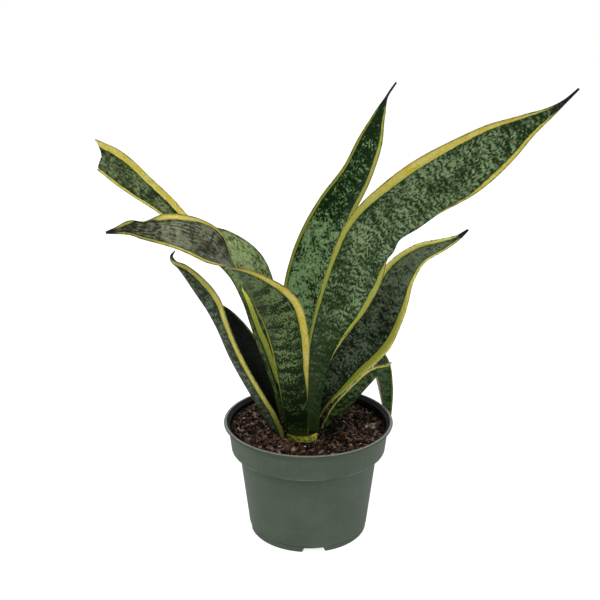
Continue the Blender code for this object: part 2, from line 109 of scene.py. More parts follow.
class Wiring:
    """Adds nodes to one node tree and links them."""

    def __init__(self, tree: bpy.types.NodeTree) -> None:
        """Keep the tree that the nodes go into."""
        self.tree = tree

    def add(self, kind: str, *values: object, **settings: object) -> bpy.types.Node:
        """Add a node, set its properties and feed its first inputs.

        Args:
            kind: The node's type name.
            *values: What goes into its inputs, in order.
            **settings: Properties of the node.

        Returns:
            The node.
        """
        node = self.tree.nodes.new(kind)
        for name, value in settings.items():
            setattr(node, name, value)
        for socket, value in zip(node.inputs, values):
            self.feed(socket, value)
        return node

    def feed(self, socket: Socket, value: object) -> None:
        """Link a socket to another, or set its value.

        Args:
            socket: The input socket.
            value: An output socket, a number, a colour or a vector.
        """
        if isinstance(value, Socket):
            self.tree.links.new(value, socket)
        elif isinstance(value, tuple) and socket.type == "RGBA":
            socket.default_value = (*value, 1.0)
        else:
            socket.default_value = value

    def fill(self, inputs: bpy.types.NodeInputs, **values: object) -> None:
        """Feed inputs by their names, with underscores for spaces."""
        for name, value in values.items():
            self.feed(inputs[name.replace("_", " ")], value)

    def maths(self, operation: str, *values: object) -> Socket:
        """Put some values through a Math node."""
        return self.add("ShaderNodeMath", *values, operation=operation).outputs[0]

    def times(self, *values: object) -> Socket:
        """Multiply two or more values."""
        return reduce(partial(self.maths, "MULTIPLY"), values)

    def plus(self, *values: object) -> Socket:
        """Add up two or more values."""
        return reduce(partial(self.maths, "ADD"), values)

    def minus(self, value: object, amount: object) -> Socket:
        """Take an amount off a value."""
        return self.maths("SUBTRACT", value, amount)

    def vector(self, operation: str, *values: object) -> bpy.types.NodeOutputs:
        """Put some values through a Vector Math node."""
        return self.add("ShaderNodeVectorMath", *values, operation=operation).outputs

    def span(self, value: object, low: object, high: object, start: object = 0.0,
             end: object = 1.0) -> Socket:
        """Map a value smoothly from the range low to high onto the range start to end."""
        return self.add("ShaderNodeMapRange", value, low, high, start, end,
                        interpolation_type="SMOOTHSTEP").outputs[0]

    def mix(self, share: object, first: object, second: object, kind: str = "MIX") -> Socket:
        """Mix two colours.

        Args:
            share: How much of the second colour.
            first: The first colour.
            second: The second colour.
            kind: How they are blended.

        Returns:
            The mixed colour.
        """
        node = self.add("ShaderNodeMix", data_type="RGBA", blend_type=kind)
        self.fill(node.inputs, Factor=share, A=first, B=second)
        return node.outputs["Result"]

    def dim(self, colour: object, level: object) -> Socket:
        """Multiply a colour by a level."""
        grey = self.add("ShaderNodeCombineColor", level, level, level).outputs[0]
        return self.mix(1.0, colour, grey, "MULTIPLY")

    def stretch(self, vector: object, sizes: object) -> Socket:
        """Divide a place by the sizes of a pattern along x, y and z, or by one size for all."""
        sizes = sizes if isinstance(sizes, tuple) else (sizes, sizes, sizes)
        return self.vector("DIVIDE", vector, self.add("ShaderNodeCombineXYZ", *sizes).outputs[0])[0]

    def grain(self, place: object, sizes: object, detail: float = 2.0, roughness: float = 0.5,
              distortion: float = 0.0) -> Socket:
        """Add a noise texture.

        Args:
            place: The place, in millimetres.
            sizes: The sizes of its features along x, y and z, or one size for all three.
            detail: How many finer layers it has.
            roughness: How strong they are.
            distortion: How much it swirls.

        Returns:
            The noise, from 0 to 1.
        """
        node = self.add("ShaderNodeTexNoise")
        self.fill(node.inputs, Vector=self.stretch(place, sizes), Scale=1.0, Detail=detail,
                  Roughness=roughness, Distortion=distortion)
        return node.outputs["Fac"]

    def attribute(self, name: str, output: str = "Fac") -> Socket:
        """Read a mesh attribute by its name."""
        return self.add("ShaderNodeAttribute", attribute_name=name).outputs[output]

    def use(self, group: bpy.types.NodeTree, **values: object) -> bpy.types.NodeOutputs:
        """Place a node group and feed its inputs.

        Args:
            group: The node group.
            **values: Its inputs, with underscores for spaces.

        Returns:
            The group's outputs.
        """
        node = self.add("ShaderNodeGroup", node_tree=group)
        self.fill(node.inputs, **values)
        return node.outputs

    def bump(self, height: object, strength: float, distance: float) -> Socket:
        """Add a bump.

        Args:
            height: The height map.
            strength: How much of it shows.
            distance: How high a height of 1 is, in metres.

        Returns:
            The bent normal.
        """
        node = self.add("ShaderNodeBump")
        self.fill(node.inputs, Height=height, Strength=strength, Distance=distance)
        return node.outputs["Normal"]


def new_group(name: str, inputs: dict[str, tuple[str, ...]], outputs: dict[str, tuple[str, ...]]) -> tuple:
    """Start a shader node group.

    Args:
        name: The group's name.
        inputs: Input names, by the type of their sockets.
        outputs: Output names, likewise.

    Returns:
        The group, its wiring, its input node's sockets and its output node's sockets.
    """
    group = bpy.data.node_groups.new(name, "ShaderNodeTree")
    for way, kinds in (("INPUT", inputs), ("OUTPUT", outputs)):
        for kind, labels in kinds.items():
            for label in labels:
                group.interface.new_socket(label, in_out=way, socket_type=f"NodeSocket{kind}")
    wiring = Wiring(group)
    given = wiring.add("NodeGroupInput").outputs
    result = wiring.add("NodeGroupOutput").inputs
    return group, wiring, given, result


def new_material(name: str) -> tuple[bpy.types.Material, Wiring, bpy.types.NodeInputs]:
    """Start a Principled material.

    Args:
        name: The material's name.

    Returns:
        The material, its wiring and its shader's inputs.
    """
    material = bpy.data.materials.new(name)
    material.use_nodes = True
    tree = material.node_tree
    return material, Wiring(tree), tree.nodes["Principled BSDF"].inputs


@dataclass(frozen=True)
class Groups:
    """The node groups that several materials share."""

    banding: bpy.types.NodeTree
    margin: bpy.types.NodeTree
    flecks: bpy.types.NodeTree


@dataclass(frozen=True)
class Banding:
    """The pale bands and streaks of a leaf.

    patches, specks and warps are sizes across, along and between seeds, in millimetres.
    warp_reach is how far the cross-bands wander, wave_span maps the patches onto their
    strength, and the weights are how much each pattern counts.
    """

    patches: Triple = (15.0, 26.0, 1.0)
    specks: Triple = (1.3, 1.6, 1.0)
    warps: Triple = (7.0, 16.0, 1.0)
    warp_reach: float = 26.0
    wave_span: Quad = (0.38, 0.6, 0.3, 1.0)
    band_weight: float = 1.1
    patch_weight: float = 0.7
    streak_weight: float = 1.2
    speck_weight: float = 0.6

    def build(self) -> bpy.types.NodeTree:
        """Build the node group.

        Returns:
            A group that puts out how pale a place is, its level before that, and its height.
        """
        inputs = {"Vector": ("Place",),
                  "Float": ("Band Width", "Band Length", "Streak Width", "Streak Length", "Streaks",
                            "Waves", "Period", "Paleness", "Softness")}
        group, w, given, result = new_group("leaf banding", inputs, {"Float": ("Pale", "Level", "Height")})
        place = given["Place"]
        bands = w.grain(place, (given["Band Width"], given["Band Length"], 1.0), 2.0, 0.55, 0.6)
        patches = w.grain(place, self.patches, 2.0, 0.5, 0.3)
        streaks = w.grain(place, (given["Streak Width"], given["Streak Length"], 1.0), 1.0)
        specks = w.grain(place, self.specks, 1.0)
        warp = w.times(w.grain(place, self.warps, 2.0, 0.55), self.warp_reach)
        along = w.add("ShaderNodeSeparateXYZ", place).outputs[1]
        turns = w.maths("DIVIDE", w.plus(along, warp), given["Period"])
        wave = w.times(w.maths("SINE", w.times(turns, math.tau)), w.span(patches, *self.wave_span))
        fine = w.minus(w.plus(w.times(streaks, self.streak_weight), w.times(specks, self.speck_weight)),
                       (self.streak_weight + self.speck_weight) / 2)
        level = w.plus(w.times(wave, given["Waves"]), w.times(w.minus(bands, 0.5), self.band_weight),
                       w.times(w.minus(patches, 0.5), self.patch_weight),
                       w.times(fine, given["Streaks"]), given["Paleness"])
        pale = w.span(level, w.times(given["Softness"], -1.0), given["Softness"])
        w.fill(result, Pale=pale, Level=level, Height=streaks)
        return group


@dataclass(frozen=True)
class Margin:
    """The golden margin of a leaf, with a wavy inner edge and greenish mottles.

    Waves, clouds and mottles are sizes across, along and between seeds, and reaches how
    far the waves carry the inner edge, in millimetres. Each span is a range of a value
    and what it is mapped onto. border_green is how green the inner edge is.
    """

    long_waves: Triple = (1.6, 9.0, 1.0)
    short_waves: Triple = (0.8, 2.6, 1.0)
    long_reach: float = 1.3
    short_reach: float = 0.9
    softness: float = 0.2
    deep_span: Quad = (0.1, 3.0, 0.6, 0.0)
    clouds: Triple = (4.0, 11.0, 1.0)
    cloud_range: Pair = (0.35, 0.65)
    mottles: Triple = (0.9, 2.8, 1.0)
    green_span: Quad = (0.3, 0.6, 0.75, 1.15)
    inward_span: Quad = (1.5, 7.0, -0.12, 0.24)
    border_range: Pair = (-1.5, 0.1)
    border_green: float = 0.6
    mottle_tone: Quad = (0.35, 0.65, 0.88, 1.08)
    wave_tone: Quad = (-0.2, 0.2, 0.9, 1.08)
    rim_fade: float = 0.4

    def build(self) -> bpy.types.NodeTree:
        """Build the node group.

        Returns:
            A group that lays the margin over a body colour.
        """
        inputs = {"Vector": ("Place",),
                  "Float": ("Margin", "Edge", "Green Share", "Rim Width", "Rim Share"),
                  "Color": ("Body", "Deep", "Gold", "Light", "Green", "Rim")}
        group, w, given, result = new_group("golden margin", inputs, {"Color": ("Color",)})
        place, edge = given["Place"], given["Edge"]
        long_wave = w.minus(w.grain(place, self.long_waves, 2.0, 0.6), 0.5)
        short_wave = w.minus(w.grain(place, self.short_waves, 1.0), 0.5)
        inside = w.plus(given["Margin"], w.times(long_wave, self.long_reach),
                        w.times(short_wave, self.short_reach))
        mask = w.span(inside, self.softness, -self.softness)
        body = w.mix(w.span(inside, *self.deep_span), given["Body"], given["Deep"])
        clouds = w.grain(place, self.clouds, 2.0, 0.6)
        gold = w.mix(w.span(clouds, *self.cloud_range), given["Gold"], given["Light"])
        mottle = w.grain(place, self.mottles, 1.0)
        greenness = w.plus(w.times(given["Green Share"], w.span(mottle, *self.green_span)),
                           w.span(edge, *self.inward_span))
        border = w.times(w.span(inside, *self.border_range), self.border_green)
        greenness = w.maths("MAXIMUM", greenness, border)
        gold = w.mix(w.maths("MINIMUM", greenness, 1.0), gold, given["Green"])
        grit = w.times(w.span(mottle, *self.mottle_tone), w.span(short_wave, *self.wave_tone))
        colour = w.mix(mask, body, w.dim(gold, grit))
        inner = w.times(given["Rim Width"], self.rim_fade)
        rim = w.span(edge, given["Rim Width"], inner, 0.0, given["Rim Share"])
        w.feed(result["Color"], w.mix(w.times(rim, mask), colour, given["Rim"]))
        return group


@dataclass(frozen=True)
class Flecks:
    """Scattered small flecks, such as dust, grit or scuffs, which fade over a share of their size."""

    fade: Pair = (0.34, 0.18)

    def build(self) -> bpy.types.NodeTree:
        """Build the node group.

        Returns:
            A group that puts out where the flecks are.
        """
        inputs = {"Vector": ("Place",), "Float": ("Size", "Amount")}
        group, w, given, result = new_group("flecks", inputs, {"Float": ("Mask",)})
        cells = w.add("ShaderNodeTexVoronoi")
        w.fill(cells.inputs, Vector=w.stretch(given["Place"], given["Size"]), Scale=1.0, Randomness=1.0)
        chance = w.add("ShaderNodeSeparateColor", cells.outputs["Color"]).outputs[0]
        picked = w.maths("LESS_THAN", chance, given["Amount"])
        w.feed(result["Mask"], w.times(picked, w.span(cells.outputs["Distance"], *self.fade)))
        return group


# Finishes


@dataclass(frozen=True)
class LeafFinish:
    """One leaf's greens, golds and pattern.

    gold, light and green colour the margin, rim its very edge, deep the body beside it,
    tip the dried end and foot the plain green near the soil. Pattern sizes are in
    millimetres, and streak_length is given for the inner and the outer face. waves is
    how strong the cross-bands are and period how far apart they lie. The tones and
    foot_span map the bands, the long lines and the grit onto brightness, and the long
    lines' tone is a painted sheen. roughening is what relief_range of the streaks adds
    to the roughness.
    """

    inner_dark: Colour
    inner_pale: Colour
    outer_dark: Colour
    outer_pale: Colour
    gold: Colour = srgb(216, 196, 66)
    light: Colour = srgb(228, 212, 122)
    green: Colour = srgb(132, 146, 52)
    deep: Colour = srgb(20, 52, 6)
    rim: Colour = srgb(158, 128, 66)
    rim_width: float = 0.5
    rim_share: float = 0.4
    tip: Colour = srgb(30, 26, 22)
    foot: Colour = srgb(68, 92, 46)
    band_width: float = 13.0
    band_length: float = 5.0
    streak_width: float = 1.3
    streak_length: Pair = (4.4, 4.4)
    streaks: float = 1.0
    waves: float = 0.1
    period: float = 6.0
    softness: float = 0.24
    lines: Triple = (0.9, 30.0, 1.0)
    grit: Triple = (1.0, 2.6, 1.0)
    band_tone: Quad = (-0.4, 0.45, 0.62, 1.3)
    sheen_line_tone: Quad = (0.52, 0.72, 0.97, 1.22)
    grit_tone: Quad = (0.34, 0.66, 0.74, 1.24)
    foot_span: Quad = (0.4, 0.6, 0.8, 1.0)
    relief_range: Pair = (0.3, 0.7)
    roughness: float = 0.46
    roughening: Pair = (-0.05, 0.08)
    shine: float = 0.16
    bump: float = 0.25
    bump_height: float = 0.0003

    def build(self, name: str, groups: Groups) -> bpy.types.Material:
        """Make the leaf's material.

        Args:
            name: The material's name.
            groups: The shared node groups.

        Returns:
            The material.
        """
        material, w, shader = new_material(name)
        place, face = w.attribute("place", "Vector"), w.attribute("face")
        bands = w.use(groups.banding, Place=place, Band_Width=self.band_width,
                      Band_Length=self.band_length, Streak_Width=self.streak_width,
                      Streak_Length=w.span(face, 0.0, 1.0, *self.streak_length),
                      Streaks=self.streaks, Waves=self.waves, Period=self.period,
                      Paleness=w.attribute("lift"), Softness=self.softness)
        body = w.mix(bands["Pale"], w.mix(face, self.inner_dark, self.outer_dark),
                     w.mix(face, self.inner_pale, self.outer_pale))
        lines = w.grain(place, self.lines, 2.0, 0.6)
        grit = w.grain(place, self.grit, 2.0, 0.7)
        # The long lines brighten the body in thin streaks: a painted sheen.
        tone = w.times(w.span(bands["Level"], *self.band_tone), w.span(lines, *self.sheen_line_tone),
                       w.span(grit, *self.grit_tone))
        body = w.dim(body, tone)
        body = w.mix(w.times(w.attribute("foot"), w.span(lines, *self.foot_span)), body, self.foot)
        edged = w.use(groups.margin, Place=place, Margin=w.attribute("margin"), Edge=w.attribute("edge"),
                      Green_Share=w.attribute("green"), Body=body, Deep=self.deep, Gold=self.gold,
                      Light=self.light, Green=self.green, Rim=self.rim, Rim_Width=self.rim_width,
                      Rim_Share=self.rim_share)
        colour = w.mix(w.attribute("tip"), edged["Color"], self.tip)
        dull = (self.roughness + change for change in self.roughening)
        # The depth attribute dims or brightens the colour: painted light and shade.
        w.fill(shader, Base_Color=w.dim(colour, w.attribute("depth")),
               Roughness=w.span(bands["Height"], *self.relief_range, *dull),
               Specular_IOR_Level=self.shine, Normal=w.bump(bands["Height"], self.bump, self.bump_height))
        return material


@dataclass(frozen=True)
class PlasticFinish:
    """The pot's moulded plastic, a little scuffed, with some dust, and with a painted highlight along its
    lip.

    Lines are heights and the lip's inner and outer bounds radii, in millimetres. The
    dark crease lines are painted shade, each with its height, reach and strength, and
    flecks are specks of dust and grit, each with its size, how many there are and how
    strong they are. Each span is a range of a value and what it is mapped onto. The
    ranges say how steep the lip's painted highlight is and where the inner wall, painted
    in shade, turns inwards.
    """

    colour: Colour = srgb(78, 93, 77)
    # Pale dust colour, also used for the painted highlight line on the collar's lower edge.
    dust: Colour = srgb(142, 144, 130)
    # Pale colour of the painted highlight on the top of the lip.
    lip_highlight: Colour = srgb(150, 153, 140)
    # Near black: painted shade on the inner wall, the lip and the creases, and the colour of the grit flecks.
    inside: Colour = srgb(9, 11, 8)
    roughness: float = 0.42
    roughening: float = 0.12
    shine: float = 0.35
    bump: float = 0.12
    bump_height: float = 0.0003
    soil_line: float = 92.0
    lip_line: float = 102.6
    lip_inner: float = 73.4
    lip_outer: float = 75.5
    # Painted shadow lines under the collar step, above the foot and at the bottom edge.
    crease_shadows: Track = ((78.4, 0.9, 0.6), (6.0, 0.9, 0.5), (0.0, 1.7, 0.75))
    # Pale lines: dust at 6.5 mm, and a painted highlight on the collar's lower edge at 79.6 mm.
    dust_and_highlight_lines: Pair = (6.5, 79.6)
    dust_flecks: Triple = (2.1, 0.035, 0.28)
    grit_flecks: Triple = (2.9, 0.04, 0.3)
    cloud_sizes: Triple = (38.0, 38.0, 24.0)
    scuff_sizes: Triple = (14.0, 14.0, 0.9)
    highlight_size: float = 3.0
    pore_size: float = 1.1
    cloud_span: Quad = (0.35, 0.7, 0.0, 0.14)
    scuff_span: Quad = (0.6, 0.8, 0.0, 0.12)
    highlight_span: Quad = (0.3, 0.6, 0.55, 0.95)
    dust_span: Quad = (0.6, 0.2, 0.0, 0.6)
    dust_and_highlight_range: Pair = (0.4, 0.6)
    upward_range: Pair = (0.15, 0.5)
    inward_range: Pair = (-0.1, -0.4)
    lip_fade: float = 0.3
    lip_dark: float = 0.35
    soil_fade: float = 3.0
    crease_core: float = 0.2
    scuff_depth: float = 0.5

    def build(self, name: str, groups: Groups) -> bpy.types.Material:
        """Make the pot's material.

        Args:
            name: The material's name.
            groups: The shared node groups.

        Returns:
            The material.
        """
        material, w, shader = new_material(name)
        surface = w.add("ShaderNodeNewGeometry").outputs
        place = w.stretch(surface["Position"], MM)
        across, deep, height = w.add("ShaderNodeSeparateXYZ", place).outputs
        flat = w.add("ShaderNodeCombineXYZ", across, deep).outputs[0]
        radius = w.vector("LENGTH", flat)["Value"]
        facing = w.vector("DOT_PRODUCT", surface["Normal"], w.vector("NORMALIZE", flat)[0])["Value"]
        rise = w.add("ShaderNodeSeparateXYZ", surface["Normal"]).outputs[2]
        upward = w.span(rise, *self.upward_range)

        cloud = w.grain(place, self.cloud_sizes, 3.0, 0.6)
        scuffs = w.grain(place, self.scuff_sizes, 3.0, 0.65)
        colour = w.mix(w.span(cloud, *self.cloud_span), self.colour, self.dust)
        colour = w.mix(w.span(scuffs, *self.scuff_span), colour, self.dust)
        flecks = ((self.dust_flecks, self.dust), (self.grit_flecks, self.inside))
        for (size, amount, strength), tint in flecks:
            mask = w.use(groups.flecks, Place=place, Size=size, Amount=amount)["Mask"]
            colour = w.mix(w.times(mask, strength), colour, tint)

        # Painted highlight: the upward facing top of the lip is drawn pale, in patches.
        at_lip = w.span(height, self.lip_line - self.lip_fade, self.lip_line)
        ring = w.times(w.span(radius, self.lip_inner, self.lip_inner + self.lip_fade),
                       w.span(radius, self.lip_outer + 0.2, self.lip_outer - 0.2))
        highlight_patches = w.span(w.grain(place, self.highlight_size), *self.highlight_span)
        colour = w.mix(w.times(ring, upward, at_lip, highlight_patches), colour, self.lip_highlight)
        # Painted shade: the outer side of the lip's roll is darkened towards the inside colour.
        lip_shade = w.span(radius, self.lip_outer, self.lip_outer + self.lip_fade, 0.0, self.lip_dark)
        colour = w.mix(w.times(lip_shade, at_lip), colour, self.inside)
        # Painted shadow: dark lines at the crease heights.
        for line, reach, strength in self.crease_shadows:
            off = w.maths("ABSOLUTE", w.minus(height, line))
            colour = w.mix(w.span(off, reach, self.crease_core, 0.0, strength), colour, self.inside)
        # Pale lines: dust near the foot, and a painted highlight on the collar's lower edge.
        for line in self.dust_and_highlight_lines:
            dust_and_highlight = w.span(w.maths("ABSOLUTE", w.minus(height, line)), *self.dust_span)
            colour = w.mix(w.times(dust_and_highlight, w.span(cloud, *self.dust_and_highlight_range)), colour, self.dust)
        # Painted shade: the inner wall above the soil is drawn near black.
        inner_wall_shade = w.times(w.span(facing, *self.inward_range),
                         w.span(height, self.soil_line - self.soil_fade, self.soil_line))
        relief = w.plus(w.times(scuffs, self.scuff_depth), w.grain(place, self.pore_size))
        w.fill(shader, Base_Color=w.mix(inner_wall_shade, colour, self.inside),
               Roughness=w.span(cloud, 0.3, 0.7, self.roughness, self.roughness + self.roughening),
               Specular_IOR_Level=self.shine, Normal=w.bump(relief, self.bump, self.bump_height))
        return material


@dataclass(frozen=True)
class CrumbFinish:
    """A loose dry or damp material, such as peat, bark or perlite.

    warm is what the pieces lean to in part, and size is how broad its clouds are.
    flecks gives the size of its pale flecks, how many there are and how strong they are.
    """

    dark: Colour
    light: Colour
    warm: Colour = srgb(70, 42, 32)
    warmth: float = 0.3
    size: float = 3.0
    roughness: float = 0.9
    bump: float = 0.6
    shine: float = 0.15
    contrast: float = 1.7
    light_range: Pair = (0.4, 0.66)
    hue_size: float = 7.0
    hue_range: Pair = (0.45, 0.65)
    flecks: Triple = (1.3, 0.06, 0.5)
    pore_size: float = 0.7
    bump_height: float = 0.0006

    def build(self, name: str, groups: Groups) -> bpy.types.Material:
        """Make the material.

        Args:
            name: The material's name.
            groups: The shared node groups.

        Returns:
            The material.
        """
        material, w, shader = new_material(name)
        place = w.stretch(w.add("ShaderNodeNewGeometry").outputs["Position"], MM)
        own = w.times(w.minus(w.attribute("tone"), 0.5), self.contrast)
        share = w.plus(w.span(w.grain(place, self.size, 4.0, 0.65), *self.light_range), own)
        share = w.maths("MINIMUM", w.maths("MAXIMUM", share, 0.0), 1.0)
        hue = w.span(w.grain(place, self.hue_size), *self.hue_range, 0.0, self.warmth)
        colour = w.mix(hue, w.mix(share, self.dark, self.light), self.warm)
        size, amount, strength = self.flecks
        mask = w.use(groups.flecks, Place=place, Size=size, Amount=amount)["Mask"]
        colour = w.mix(w.times(mask, strength), colour, self.light)
        pores = w.grain(place, self.pore_size, 4.0, 0.7)
        w.fill(shader, Base_Color=w.dim(colour, w.attribute("shade")), Roughness=self.roughness,
               Specular_IOR_Level=self.shine, Normal=w.bump(pores, self.bump, self.bump_height))
        return material


# Leaf tables, as in the CAD source


@dataclass(frozen=True)
class Station:
    """One section of a leaf, in millimetres and degrees.

    The midrib passes through (x, y, z). left and right are the blade's widths on
    each side of it, facing is where the inner face looks, curl_left and curl_right
    are how far each side bends towards it, and fold creases both at the midrib.
    """

    x: float
    y: float
    z: float
    left: float
    right: float
    facing: Triple
    curl_left: float
    curl_right: float
    fold: float = 0.0


